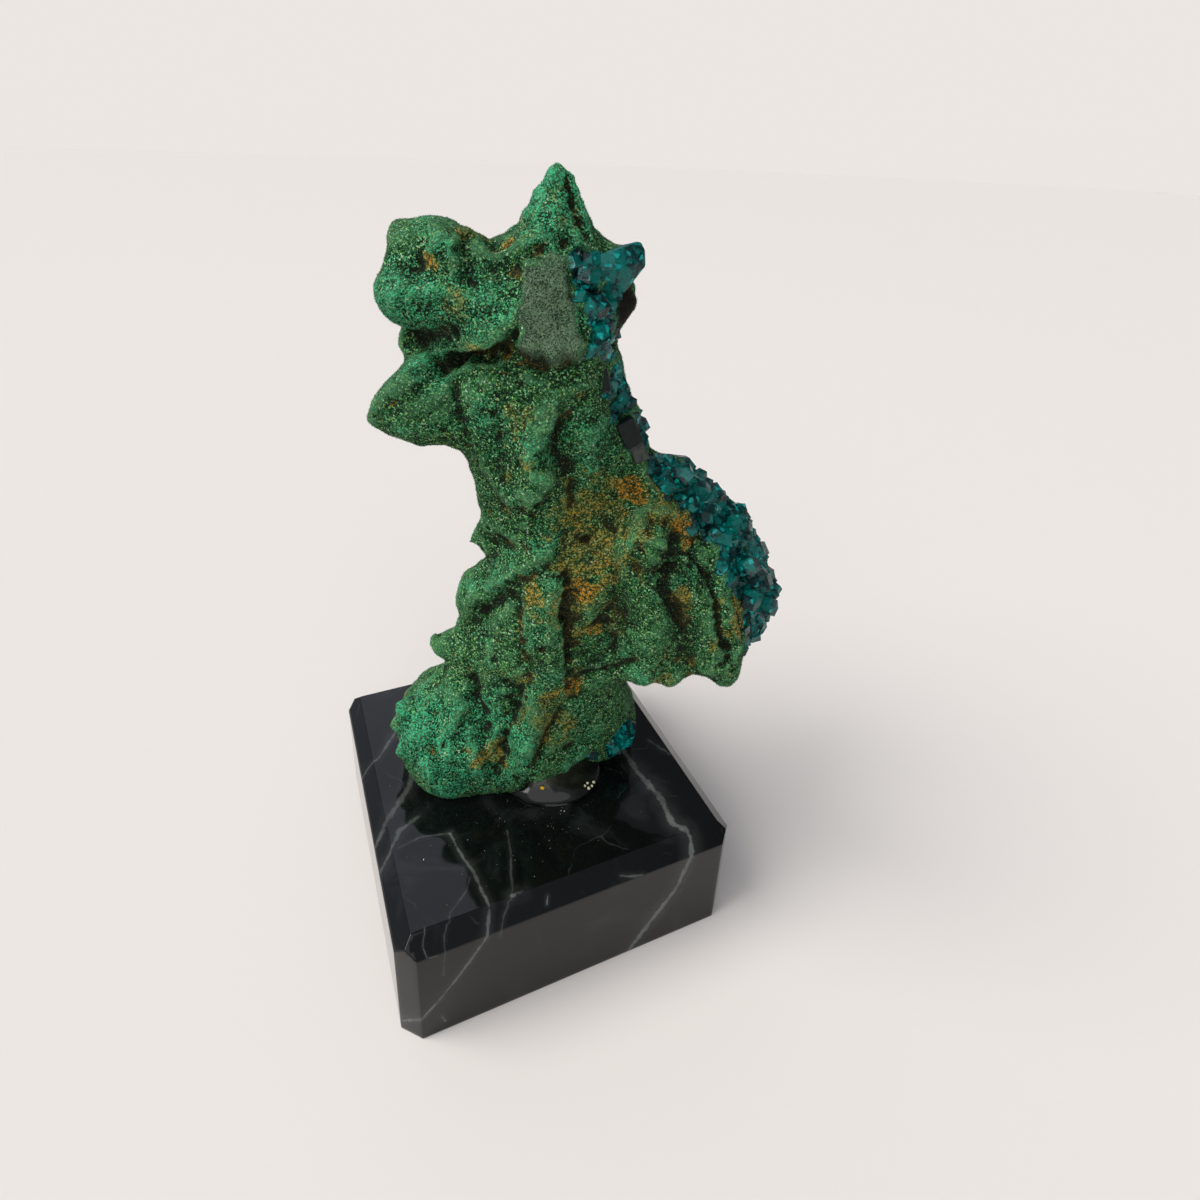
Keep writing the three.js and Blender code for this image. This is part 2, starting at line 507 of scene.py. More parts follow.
VEINS = tuple(
    Vein(*row[:3], row[3:])
    for row in (
        ("broad", 1.65, 0.52, (25, -2, 29), (25, -8, 29), (25.5, -17.5, 29), (27, -25.5, 29), (26, -33, 29),
         (28, -35.5, 29), (28.5, -37.5, 27.5), (27.5, -40, 25.5), (25, -40, 17.5), (19.5, -40, 9.5),
         (12.5, -40, 0)),
        ("winding", 0.8, 0.42, (-23.5, -16.5, 29), (-22.5, -23, 29), (-21, -28, 29), (-20.5, -33, 29),
         (-20, -36.4, 29), (-21.5, -40, 25.4), (-22.5, -40, 23.5), (-27.5, -40, 16.5), (-31.5, -40, 11.5),
         (-36, -40, 7), (-39.5, -36.5, 3)),
        ("far", 0.8, 0.30, (-27, 30, 29), (-29, 20, 29), (-35, 12, 29), (-40, 10, 25.4), (-40, 6, 15)),
        ("cloud", 1.5, 0.26, (-28, 6, 29), (-29, 1, 29), (-35.5, -7, 29), (-38.5, -10, 27), (-40, -14, 18)),
        ("wisp", 1.2, 0.28, (-29.5, -9.5, 29), (-34, -11.5, 29), (-37, -16, 28.6), (-40, -18, 25.4)),
        ("thread", 0.35, 0.26, (-35, -16, 29), (-30, -15, 29), (-23.5, -16.5, 29)),
        ("broken", 0.55, 0.20, (-11, -20.5, 29), (-12, -26.5, 29), (-13.5, -31, 29), (-14.5, -35.5, 29),
         (-17.5, -38.5, 27), (-18.5, -40, 25.4), (-18.8, -40, 23)),
        ("knot", 1.1, 0.42, (-15.2, -36.2, 29), (-13.6, -36, 29), (-12.4, -36.3, 29)),
        ("branch", 0.4, 0.18, (-22, -28.5, 29), (-23.5, -31.5, 29), (-28, -35, 29), (-30, -38, 27.4),
         (-30.5, -40, 24), (-31, -40, 18)),
        ("hair", 0.22, 0.30, (-33.5, -36, 29), (-34.5, -38.5, 27), (-34, -40, 25.4), (-32, -40, 25)),
        ("tick", 0.4, 0.5, (-7.5, -38, 27.4), (-8, -39, 26.4)),
        ("foot tick", 0.5, 0.4, (-32, -40, 5.5), (-31, -40, 2.5)),
        ("edge specks", 0.5, 0.34, (9.5, -39, 26.5), (12, -39.6, 25.9), (15, -40, 25.4)),
        ("side", 0.8, 0.3, (40, -30, 2), (40, -24, 14), (40, -20, 25), (37, -16, 28.4), (33, -8, 29)),
        ("back", 1.1, 0.45, (-18, 40, 2), (-8, 40, 12), (4, 40, 18), (11, 38.5, 26.9), (15, 33, 29)),
    )
)


@dataclass(frozen=True)
class MarbleFinish:
    """Polished black marble with pale calcite veins."""

    ground: Colour = (0.0028, 0.0034, 0.0034)
    haze: Colour = (0.011, 0.013, 0.013)
    calcite: Colour = (0.22, 0.24, 0.22)
    polish: float = 0.045
    ior: float = 1.345

    def material(self, veins: tuple[Vein, ...]) -> bpy.types.Material:
        """Wire the marble.

        Args:
            veins: The veins, each of which the mesh carries an attribute for.

        Returns:
            The finished material.
        """
        s = Shader("marble")
        wobble, fray = s.swing(3.0, 5.0, 0.62), s.swing(0.9, 3.0, 0.6)
        veil = s.span(s.noise(16.0, 5.0, 0.6, 1.2), 0.5, 0.72)
        colour = s.blend(veil, self.ground, self.haze)
        for vein in veins:
            away = s.vector("LENGTH", {0: s.attribute(vein.layer).outputs["Vector"]}).outputs["Value"]
            edge = s.plus(away, s.times(wobble, vein.width * 1.3))
            edge = s.plus(s.math("ABSOLUTE", edge), s.times(fray, vein.width * 0.9))
            core = s.span(edge, vein.width * 0.15, vein.width * 0.62, vein.strength, 0.0)
            glow = s.span(away, 0.0, vein.width * 2.6, vein.strength * 0.16, 0.0)
            patchy = s.span(s.noise(5.0, 3.0, 0.6), 0.3, 0.6, 0.45, 1.0)
            colour = s.blend(s.times(s.math("MAXIMUM", core, glow), patchy), colour, self.calcite)
        colour = s.blend(self._hairs(s), colour, self.calcite)
        fleck = s.span(s.noise(0.5, 2.0, 0.5), 0.72, 0.8, 0.0, 0.10)
        colour = s.blend(fleck, colour, self.calcite)
        smear = s.span(s.noise(7.0, 4.0, 0.6), 0.35, 0.75, self.polish, self.polish * 1.9)
        normal = s.bump(s.noise(1.4, 2.0, 0.5), 0.004, 0.2)
        s.set(Base_Color=colour, Roughness=smear, IOR=self.ior, Normal=normal)
        return s.material

    @staticmethod
    def _hairs(s: Shader) -> Socket:
        """Give the share of the fine hair veins, which follow the edges of warped cells.

        Args:
            s: The marble's bench.

        Returns:
            Their share of the surface.
        """
        knobs = {"Vector": s.place, "Scale": 70.0, "Detail": 4.0}
        drift = s.add("ShaderNodeTexNoise", knobs).outputs["Color"]
        shift = s.vector("SCALE", {0: drift, "Scale": 0.012}).outputs[0]
        hair = s.cells(26.0, "DISTANCE_TO_EDGE", s.vector("ADD", {0: s.place, 1: shift}).outputs[0])
        thin = s.span(hair.outputs["Distance"], 0.0, 0.010, 0.08, 0.0)
        return s.times(thin, s.span(s.noise(9.0, 3.0, 0.6), 0.5, 0.66))


@dataclass
class Plinth:
    """The marble block, a fine-meshed copy of its CAD node with eased edges and vein attributes."""

    ease: float = 0.22
    grid: float = 1.0
    finish: MarbleFinish = field(default_factory=MarbleFinish)
    veins: tuple[Vein, ...] = VEINS

    def build(self) -> Piece:
        """Make the plinth.

        Returns:
            The piece that stands for the CAD plinth.
        """
        form = copy_of_node("plinth")
        bmesh.ops.dissolve_limit(form, angle_limit=math.radians(1.0), verts=form.verts, edges=form.edges)
        ease = {"offset": self.ease * MM, "segments": 3, "profile": 0.5, "affect": "EDGES", "material": -1}
        bmesh.ops.bevel(form, geom=list(form.edges), **ease)
        low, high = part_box("plinth")
        for axis in range(3):
            normal = Vector([float(axis == k) for k in range(3)])
            cuts = int((high[axis] - low[axis]) / (self.grid * MM))
            for k in range(1, cuts):
                at = normal * (low[axis] + (high[axis] - low[axis]) * k / cuts)
                whole = [*form.verts, *form.edges, *form.faces]
                bmesh.ops.bisect_plane(form, geom=whole, plane_co=at, plane_no=normal)
        piece = scene_object("plinth_block", mesh_from(form, "plinth_block"))
        self._paint_veins(piece.data)
        piece.data.shade_smooth()
        piece.data.materials.append(self.finish.material(self.veins))
        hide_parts("plinth")
        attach(piece, "root")
        return piece

    def _paint_veins(self, mesh: Mesh) -> None:
        """Store, for each vein, how far aside and how far past its ends each vertex is.

        Args:
            mesh: The plinth's mesh.
        """
        place, facing = Skin.raw(mesh)
        count = len(place)
        for vein in self.veins:
            best = np.full(count, FAR)
            store = np.zeros((count, 3))
            for a, b in zip(vein.points, vein.points[1:]):
                start, run = np.array(a, float), np.array(b, float) - np.array(a, float)
                length = np.linalg.norm(run)
                run /= length
                along = (place - start) @ run
                inside = np.clip(along, 0.0, length)
                away = place - start - inside[:, None] * run
                distance = np.linalg.norm(away, axis=1)
                side = np.sign(np.sum(away * np.cross(facing, run), axis=1))
                past = np.abs(along - inside)
                aside = np.sqrt(np.maximum(distance**2 - past**2, 0.0)) * side
                nearer = distance < best
                best = np.where(nearer, distance, best)
                store[nearer] = np.stack([aside, past, np.zeros(count)], 1)[nearer]
            Skin.store(mesh, vein.layer, store)


# --- The malachite body -------------------------------------------------------------------------------


class Kind(Enum):
    """What a stroke does to the skin."""

    RIDGE = "ridge"
    KEEN = "keen ridge"
    GROOVE = "groove"
    CRACK = "crack"


@dataclass(frozen=True)
class Stroke:
    """One worked line or spot on the specimen, through points on its skin."""

    kind: Kind
    name: str
    width: float
    height: float
    points: tuple[Point, ...]


@dataclass(frozen=True)
class Flat:
    """A broken flat on the specimen: a plane through a point, straight on its left and wider below."""

    centre: Point
    facing: Point
    left: float
    width: float
    flare: float
    reach: float


@dataclass(frozen=True)
class Patch:
    """A round area on the specimen's skin."""

    centre: Point
    radius: float
    amount: float = 1.0


def strokes(*rows: tuple) -> tuple[Stroke, ...]:
    """Make strokes from rows of kind, name, width, height and points."""
    return tuple(Stroke(*row[:4], row[4:]) for row in rows)


def patches(*rows: tuple[float, ...]) -> tuple[Patch, ...]:
    """Make patches from rows of x, y, z, radius and, where it isn't 1, amount."""
    return tuple(Patch(row[:3], *row[3:]) for row in rows)


def cover(areas: tuple[Patch, ...], place: Rows, fray: Rows) -> Rows:
    """Tell how strongly a set of patches covers each vertex.

    Args:
        areas: The patches.
        place: The vertices.
        fray: Noise that frays the patches' rims.

    Returns:
        One share for each vertex.
    """
    share = np.zeros(len(place))
    for area in areas:
        d = np.linalg.norm(place - np.array(area.centre, float), axis=1)
        d = d + fray * area.radius * 0.45
        share = np.maximum(share, area.amount * smoothstep(area.radius * 1.1, area.radius * 0.6, d))
    return share


R, K, G, C = Kind.RIDGE, Kind.KEEN, Kind.GROOVE, Kind.CRACK

FORMS = strokes(
    (R, "crown sliver", 1.3, 0.8, (9, -1, 170), (10, -1, 167), (11, -3, 163)),
    (R, "crown top", 2.6, 1.6, (6, -1, 172), (7, -1, 171)),
    (R, "crown flank", 3.6, 1.0, (5, -2, 168), (3, -3, 166), (1, -5, 163)),
    (R, "left bulge", 4.5, 0.9, (-25, -8, 149), (-22, -10, 149)),
    (K, "second tooth side", 1.2, 1.3, (-13, -7, 160), (-13, -9, 157), (-12, -11, 154)),
    (R, "second tooth face", 3.0, 0.9, (-10, -8, 157)),
    (K, "collar left", 1.3, 1.6, (-1, -9, 157), (0, -8, 159), (4, -7, 160), (5, -7, 161)),
    (K, "collar right", 1.2, 1.2, (5, -7, 160), (7, -9, 158), (9, -8, 157), (11, -8, 157)),
    (G, "collar pit", 1.6, 2.2, (7, -8, 159), (9, -8, 159)),
    (K, "crest scallops", 1.1, 1.3, (-8, -9, 156), (-7, -7, 157), (-5, -8, 156), (-3, -8, 157),
     (-1, -9, 157)),
    (G, "under the crest", 2.0, 0.9, (-6, -10, 155), (-4, -10, 155), (-1, -10, 155)),
    (G, "saddle", 1.8, 1.2, (-6, -5, 158), (-4, -5, 158), (-1, -7, 159)),
    (K, "second tooth rim", 1.4, 1.1, (-13, -9, 156), (-13, -8, 158), (-12, -6, 160), (-11, -4, 160),
     (-9, -3, 159), (-7, -7, 157)),
    (R, "second tooth", 2.0, 1.0, (-13, -9, 157), (-13, -11, 153)),
    (R, "first tooth", 1.6, 1.4, (-16, -6, 162), (-15, -8, 159), (-16, -9, 157)),
    (G, "left of first tooth", 1.6, 1.2, (-19, -8, 158), (-19, -9, 156), (-18, -10, 154)),
    (G, "between the teeth", 1.3, 1.6, (-14, -7, 160), (-14, -9, 157), (-13, -11, 153)),
    (G, "right of second tooth", 1.6, 1.2, (-10, -8, 157), (-9, -11, 154), (-8, -13, 151)),
    (R, "left lobe band", 2.4, 0.9, (-23, -9, 150), (-20, -10, 151), (-17, -11, 151), (-13, -12, 151),
     (-11, -12, 151)),
    (G, "left lobe furrow", 2.0, 0.8, (-23, -7, 155), (-21, -9, 154), (-18, -10, 152)),
    (G, "above the flap", 2.6, 1.5, (-24, -2, 138), (-20, -3, 139), (-14, -8, 143), (-8, -12, 147)),
    (K, "horn crest", 1.8, 1.5, (-29, -9, 125), (-27, -10, 128), (-23, -11, 132), (-21, -9, 134),
     (-19, -7, 135)),
    (K, "flap", 1.5, 2.4, (-19, -10, 134), (-18, -5, 136), (-14, -5, 139), (-8, -11, 143), (-3, -12, 145),
     (0, -13, 147)),
    (G, "under the flap", 2.3, 2.6, (-16, -6, 136), (-11, -6, 138), (-6, -9, 139), (-2, -10, 140)),
    (K, "flap rim", 1.2, 1.1, (-13, -9, 135), (-11, -8, 136), (-6, -9, 137), (-2, -10, 138)),
    (G, "cheek crease", 1.4, 1.8, (-13, -9, 135), (-12, -13, 129), (-11, -12, 124), (-11, -12, 122)),
    (G, "left lobe underside", 1.8, 1.4, (-28, -2, 143), (-22, -3, 141), (-19, -3, 138)),
    (R, "cheek", 3.0, 0.5, (-27, -10, 124), (-22, -13, 129), (-18, -12, 131), (-14, -12, 131)),
    (G, "under the plate", 1.8, 1.4, (0, -12, 138), (3, -13, 138), (6, -14, 138)),
    (R, "right of the plate", 1.6, 0.8, (13, -12, 142), (15, -10, 141), (14, -11, 139)),
    (K, "nose", 1.9, 2.5, (8, -14, 130), (6, -15, 129), (5, -15, 127), (4, -15, 124), (3, -14, 121),
     (4, -14, 118), (5, -14, 115), (3, -14, 111), (0, -12, 109)),
    (G, "nose valley", 2.2, 2.4, (9, -13, 130), (8, -14, 126), (8, -14, 122), (10, -12, 117), (11, -11, 112),
     (11, -11, 108)),
    (R, "right of the valley", 3.0, 0.8, (14, -10, 127), (13, -10, 121), (14, -10, 114)),
    (G, "throat furrow", 1.0, 0.9, (-5, -13, 130), (-4, -13, 126), (-4, -12, 121)),
    (R, "throat edge", 1.6, 1.0, (-9, -10, 118), (-4, -10, 111), (-2, -11, 108), (0, -11, 104), (0, -11, 99)),
    (G, "throat nook", 1.8, 1.8, (-4, -9, 107), (-3, -10, 106)),
    (K, "flank point rim", 1.4, 1.1, (-13, 0, 94), (-10, -1, 96), (-9, -2, 98), (-5, -8, 100), (-1, -10, 99)),
    (G, "under flank point", 1.6, 1.0, (-9, -4, 94), (-5, -7, 97), (-2, -10, 96)),
    (G, "flank notch", 1.5, 1.0, (-10, 0, 88), (-6, -7, 93)),
    (K, "slanting fold", 1.6, 1.6, (-14, -4, 73), (-10, -5, 80), (-4, -8, 87), (0, -11, 92), (3, -12, 95),
     (6, -12, 97), (7, -12, 102)),
    (G, "under the fold", 2.0, 1.0, (-11, -5, 74), (-6, -8, 81), (-1, -11, 87)),
    (R, "middle column", 2.6, 1.3, (7, -14, 90), (7, -14, 82), (8, -14, 73), (10, -13, 62)),
    (G, "left of the column", 1.5, 1.7, (-1, -12, 87), (-1, -13, 80), (0, -14, 73), (2, -15, 67),
     (4, -15, 60)),
    (R, "left rib", 2.5, 0.9, (-5, -9, 79), (-7, -9, 69), (-6, -10, 62)),
    (R, "block", 3.0, 0.8, (17, -12, 86), (14, -12, 82), (15, -11, 72)),
    (G, "block cleft", 1.2, 1.9, (21, -10, 77), (21, -11, 72), (18, -11, 69)),
    (G, "below the block", 1.6, 1.7, (12, -12, 63), (20, -11, 65), (26, -14, 71)),
    (R, "bulb", 4.2, 2.6, (27, -13, 103), (27, -14, 101)),
    (K, "bulb hood", 1.4, 1.7, (23, -14, 97), (23, -13, 103), (27, -9, 106), (32, -8, 105), (36, -7, 102)),
    (G, "bulb lee", 1.9, 2.6, (34, -9, 103), (33, -12, 101), (31, -14, 99)),
    (G, "bulb seam", 1.4, 1.2, (22, -11, 105), (22, -14, 101), (24, -15, 96)),
    (K, "bulb rib a", 0.8, 0.5, (25, -11, 105), (28, -16, 98)),
    (K, "bulb rib b", 0.8, 0.5, (27, -11, 105), (29, -16, 97)),
    (K, "bulb rib c", 0.8, 0.5, (29, -11, 104), (30, -16, 97)),
    (R, "wing plate", 4.4, 1.5, (38, -12, 90), (42, -12, 78), (46, -12, 67)),
    (G, "wing recess", 1.9, 1.4, (33, -15, 97), (31, -17, 94), (32, -15, 89), (35, -12, 82)),
    (R, "wing face", 4.0, 0.8, (27, -16, 92), (30, -14, 81), (31, -14, 73)),
    (R, "wing edge rib", 1.6, 0.9, (45, -11, 87), (47, -12, 80), (48, -12, 73)),
    (K, "foot peak", 1.2, 1.0, (-15, -7, 56), (-14, -9, 53)),
    (K, "foot peak left", 1.3, 1.2, (-13, -9, 53), (-16, -12, 48), (-19, -13, 45)),
    (K, "foot peak right", 1.3, 1.3, (-13, -9, 53), (-12, -11, 48), (-10, -13, 41), (-8, -14, 36)),
    (G, "foot peak hollow", 1.3, 1.4, (-13, -11, 49), (-13, -12, 47)),
    (G, "foot hollow", 3.2, 2.4, (-4, -11, 63), (-3, -13, 58), (-2, -13, 52)),
    (G, "foot furrow", 1.9, 2.6, (0, -14, 63), (-2, -13, 53), (-4, -13, 46), (-4, -14, 38)),
    (R, "foot column", 2.4, 1.6, (3, -15, 63), (4, -15, 55), (3, -15, 48), (2, -15, 41)),
    (G, "right foot furrow", 1.5, 2.5, (10, -13, 56), (9, -13, 52), (7, -14, 48), (5, -15, 43), (3, -15, 40)),
    (G, "left foot furrow", 1.7, 1.6, (-12, -6, 62), (-10, -11, 54), (-7, -13, 46)),
    (G, "bead hollow", 2.4, 1.5, (1, -15, 31), (6, -14, 32), (11, -12, 31), (16, -9, 30)),
    (R, "foot step a", 1.5, 1.5, (-30, -6, 48)),
    (R, "foot step b", 1.5, 1.5, (-31, -4, 41)),
    (R, "foot step c", 1.5, 1.4, (-29, -9, 38)),
    (G, "foot step notch a", 1.2, 1.2, (-31, -5, 44)),
    (G, "foot step notch b", 1.2, 1.2, (-30, -7, 39)),
    (R, "knob", 3.2, 1.0, (20, -1, 147)),
    (G, "foot cavity", 1.4, 1.5, (10, -12, 42), (13, -9, 42)),
    (R, "foot sole", 2.2, 1.3, (9, -11, 38), (13, -10, 38), (18, -6, 39)),
    (R, "right foot", 3.5, 1.0, (15, -9, 56), (17, -7, 46), (15, -8, 41)),
    (R, "foot knob a", 2.6, 0.9, (-28, -5, 48)),
    (R, "foot knob b", 2.4, 0.8, (-16, -14, 43)),
    (R, "foot knob c", 2.0, 0.8, (-25, -11, 46), (-25, -12, 43)),
    (R, "foot knob d", 2.4, 0.8, (-22, -15, 38)),
    (G, "foot seam", 1.5, 0.8, (-22, -7, 52), (-20, -12, 47), (-21, -15, 40)),
)

CRACKS = strokes(
    (C, "crown crack", 1.2, 2.0, (7, -1, 172), (8, -2, 170), (9, -3, 166), (11, -4, 163), (13, -4, 160)),
    (C, "main crack", 1.4, 3.6, (10, -13, 93), (11, -14, 89), (10, -14, 84), (11, -13, 80), (11, -12, 72),
     (11, -13, 68), (12, -12, 61)),
    (C, "wing cleft", 1.8, 4.2, (35, -12, 99), (33, -15, 97), (31, -17, 95), (31, -16, 92), (32, -15, 89)),
    (C, "wing slit", 1.1, 1.7, (32, -15, 89), (34, -13, 85), (35, -11, 81), (37, -11, 77)),
    (C, "wing crack", 1.2, 2.9, (38, -7, 100), (37, -11, 98), (39, -11, 94), (41, -11, 92), (42, -11, 88),
     (43, -12, 83), (44, -13, 78), (47, -12, 70)),
    (C, "wing edge crack", 1.2, 2.1, (47, -10, 85), (49, -10, 80), (49, -11, 76)),
    (C, "chest hole", 1.8, 2.9, (14, -11, 100)),
    (C, "column pit", 1.6, 1.8, (5, -15, 75), (5, -15, 73)),
    (C, "block pit", 2.2, 1.6, (16, -10, 80), (17, -10, 78)),
    (C, "foot crack", 0.9, 1.6, (0, -14, 63), (-1, -14, 57), (-3, -13, 52)),
    (C, "plate foot", 1.0, 0.9, (0, -12, 140), (4, -13, 139), (7, -14, 141)),
)

PLATE = Flat((5.8, -14, 148.0), (0.02, -0.93, 0.36), 0.4, 9.8, 0.25, 8.6)

HUMP = patches((5.2, -12, 158.2, 3.6, 0.8))

KNOB = patches((20, -1, 147, 4.6))

STAINS = patches(
    (22, -6, 110, 4.0), (25, -7, 108, 3.0), (35, -8, 102, 4.0), (13, -13, 89, 4.0), (3, -13, 87, 3.4, 0.8),
    (13, -11, 61, 3.0), (16, -10, 78, 3.0, 0.8), (-18, -10, 156, 2.6, 0.9), (-4, -5, 159, 3.0),
    (-3, -10, 140, 2.0), (17, -11, 105, 12.0, 0.5), (14, -12, 96, 8.0, 0.55), (33, -8, 108, 8.0, 0.5),
    (12, -12, 84, 9.0, 0.4), (-6, -14, 42, 5.0, 0.65), (7, -14, 50, 4.0, 0.6), (1, -13, 127, 5.0, 0.45),
    (48, -10, 82, 6.0, 0.7), (5, -3, 164, 8.0, 0.28), (35, -13, 88, 3.5, 0.6), (9, -13, 50, 6.0, 0.4),
    (0, -14, 62, 6.0, 0.35),
)

# Mint patches, partly painted light: mostly on the left of the head and foot and on the crown, where the
# light falls, they turn the malachite brighter mint.
MINT_AND_LIGHT_PATCHES = patches(
    (-24, -11, 44, 11.0), (-16, -16, 36, 9.0), (-8, -14, 44, 14.0, 0.8), (-22, -9, 148, 9.0, 0.8),
    (-9, -12, 149, 8.0, 0.6), (-18, -8, 136, 6.0, 0.6), (3, -14, 122, 6.0, 0.5), (6, -2, 166, 10.0),
)

SMOOTHS = patches(
    (8, -2, 167, 10.0), (27, -14, 102, 6.5), (31, -15, 78, 9.0), (43, -12, 80, 9.0), (-20, -11, 130, 9.0),
    (-24, -9, 150, 6.0), (3, -14, 123, 9.0), (16, -12, 75, 6.0), (7, -14, 82, 7.0), (-6, -9, 72, 7.0),
    (4, -15, 50, 6.0),
)

CRUSTS = patches(
    (11, -7, 157, 2.6), (13, -9, 152, 3.0), (15, -10, 146, 2.8), (14, -5, 155, 2.2), (16, -6, 150, 2.4),
    (16, -8, 141, 2.5), (19, -3, 133, 3.4), (21, -3, 127, 3.6), (23, -2, 120, 3.0), (18, -3, 140, 2.8),
    (21, 1, 130, 3.2), (24, 2, 121, 3.4), (32, 4, 115, 4.2), (39, 4, 110, 4.8), (46, 4, 103, 5.2),
    (52, 4, 95, 5.4), (57, 4, 86, 5.4), (31, 0, 113, 4.8), (36, -2, 109, 5.6), (42, -2, 103, 6.6),
    (48, -3, 97, 7.2), (51, -3, 90, 7.4), (55, -3, 82, 7.4), (57, -1, 76, 6.0), (53, -2, 72, 4.0),
    (25, -2, 38, 3.2), (18, -7, 34, 2.8),
)


@dataclass(frozen=True)
class MalachiteFinish:
    """Velvety crystalline malachite with limonite stains and mint patches partly painted as light; painted
    shade in its hollows and cracks, a painted sheen on its crests, and painted glints.
    """

    deep: Colour = (0.001, 0.007, 0.003)
    green: Colour = (0.010, 0.080, 0.022)
    light: Colour = (0.082, 0.330, 0.120)
    spark: Colour = (0.250, 0.620, 0.300)
    painted_sheen: Colour = (0.070, 0.200, 0.095)
    warm: Colour = (2.0, 1.10, 0.45)
    mint_and_light: Colour = (0.048, 0.460, 0.220)
    ochre: Colour = (0.500, 0.280, 0.035)
    gold: Colour = (0.340, 0.300, 0.060)
    rust: Colour = (0.540, 0.210, 0.012)
    umber: Colour = (0.018, 0.010, 0.004)
    shade: Colour = (0.008, 0.010, 0.004)
    olive: Colour = (0.085, 0.145, 0.024)
    teal: Colour = (0.001, 0.012, 0.013)
    slate: Colour = (0.004, 0.004, 0.003)
    shadow: Colour = (0.010, 0.022, 0.011)
    broken: Colour = (0.140, 0.215, 0.130)
    glint: Colour = (0.50, 0.64, 0.44)
    grain: float = 0.30
    ior: float = 1.65

    def material(self, loose: bool) -> bpy.types.Material:
        """Wire the malachite.

        Args:
            loose: Whether the material is for the tiny crystals, which each carry their own pick, or for
                the body, whose grains are cells.

        Returns:
            The finished material.
        """
        s = Shader("malachite_crystals" if loose else "malachite")
        tint = s.attribute("tint")
        stain, mint_and_light, crust = s.channels(tint.outputs["Color"])
        relief = s.attribute("relief").outputs["Fac"]
        grain = s.cells(self.grain)
        pick = s.attribute("pick").outputs["Fac"] if loose else s.channels(grain.outputs["Color"])[0]
        lot = s.math("FRACT", s.times(pick, 13.7))
        fine = s.swing(self.grain, 2.0, 0.8)
        tone = s.math("MULTIPLY_ADD", s.minus(pick, 0.5), s.span(relief, 0.45, 0.85, 1.10, 0.85), 0.5)
        tone = s.plus(tone, s.times(s.swing(7.0, 3.0, 0.6, 0.6), 0.35))
        # Painted light and shade: the relief darkens hollows, cracks and undersides and lightens crests and
        # upward-facing tops.
        tone = s.plus(tone, s.times(s.minus(relief, 0.5), 0.48))
        # Painted shade: the body that shows between the tiny crystals is kept darker than they are.
        if not loose:
            tone = s.minus(tone, 0.10)
        tone = s.plus(tone, s.times(fine, 1.5))
        colour = self._green(s, tone, pick, lot, relief)
        # Mint malachite, partly painted light: random mint, and the mint patches that brighten the lit left
        # of the head and foot and the crown.
        mint_and_light_share = s.math("MULTIPLY", mint_and_light, s.span(tone, 0.45, 0.82), clamp=True)
        colour = s.blend(mint_and_light_share, colour, self.mint_and_light)
        colour = self._soiled(s, colour, stain, pick, lot)
        # Painted glints: a rare few crystals turn pale and bright.
        colour = s.blend(s.span(pick, 0.982, 0.990, 0.0, 0.7), colour, self.glint)
        # Painted shade: hollows and cracks darken towards near black.
        colour = s.blend(s.span(relief, 0.36, 0.10, 0.0, 0.82), colour, self.shade)
        cloud = s.times(s.swing(2.4, 3.0, 0.6), 0.35)
        face = s.blend(s.span(s.plus(fine, cloud), -0.10, 0.12), self.shadow, self.broken)
        colour = s.blend(s.times(s.attribute("plate").outputs["Fac"], 0.88), colour, face)
        # Dark teal under the crust: the crust's own colour, darkened as painted shade in the gaps between its
        # crystals.
        colour = s.blend(s.times(crust, 0.92), colour, self.teal)
        char = s.blend(s.span(s.noise(1.8, 3.0, 0.6), 0.5, 0.66, 0.0, 0.5), self.slate, self.umber)
        colour = s.blend(tint.outputs["Alpha"], colour, char)
        if loose:
            rough = s.span(pick, 0.55, 0.95, 0.62, 0.25)
            s.set(Base_Color=colour, Roughness=rough, IOR=self.ior, Specular_IOR_Level=0.25)
            return s.material
        normal = s.bump(s.noise(1.5, 4.0, 0.7), 0.5, 0.55)
        normal = s.bump(grain.outputs["Distance"], 0.16, 0.9, normal)
        normal = s.bump(s.noise(0.25, 2.0, 0.7), 0.12, 0.8, normal)
        s.set(Base_Color=colour, Roughness=0.8, Normal=normal, IOR=self.ior, Specular_IOR_Level=0.12)
        return s.material

    def _green(self, s: Shader, tone: Socket, pick: Socket, lot: Socket, relief: Socket) -> Socket:
        """Colour the clean crystals from dark to light, with painted glints among them and a painted sheen on
        the crests.

        Args:
            s: The malachite's bench.
            tone: How light the place is.
            pick: Each crystal's random number.
            lot: Another random number for each crystal.
            relief: The relief from hollow to crest.

        Returns:
            The colour.
        """
        colour = s.blend(s.span(tone, 0.20, 0.56), self.deep, self.green)
        colour = s.blend(s.span(tone, 0.54, 0.95), colour, self.light)
        # Painted glints: the crystals with the highest picks are lightened.
        colour = s.blend(s.span(pick, 0.90, 0.93, 0.0, 0.75), colour, self.spark)
        warmed = s.blend(1.0, colour, self.warm, "MULTIPLY")
        colour = s.blend(s.span(lot, 0.60, 0.68, 0.0, 0.55), colour, warmed)
        # Painted sheen: crests and tops turn a pale grey-green.
        return s.blend(s.span(relief, 0.56, 0.92, 0.0, 0.42), colour, self.painted_sheen)

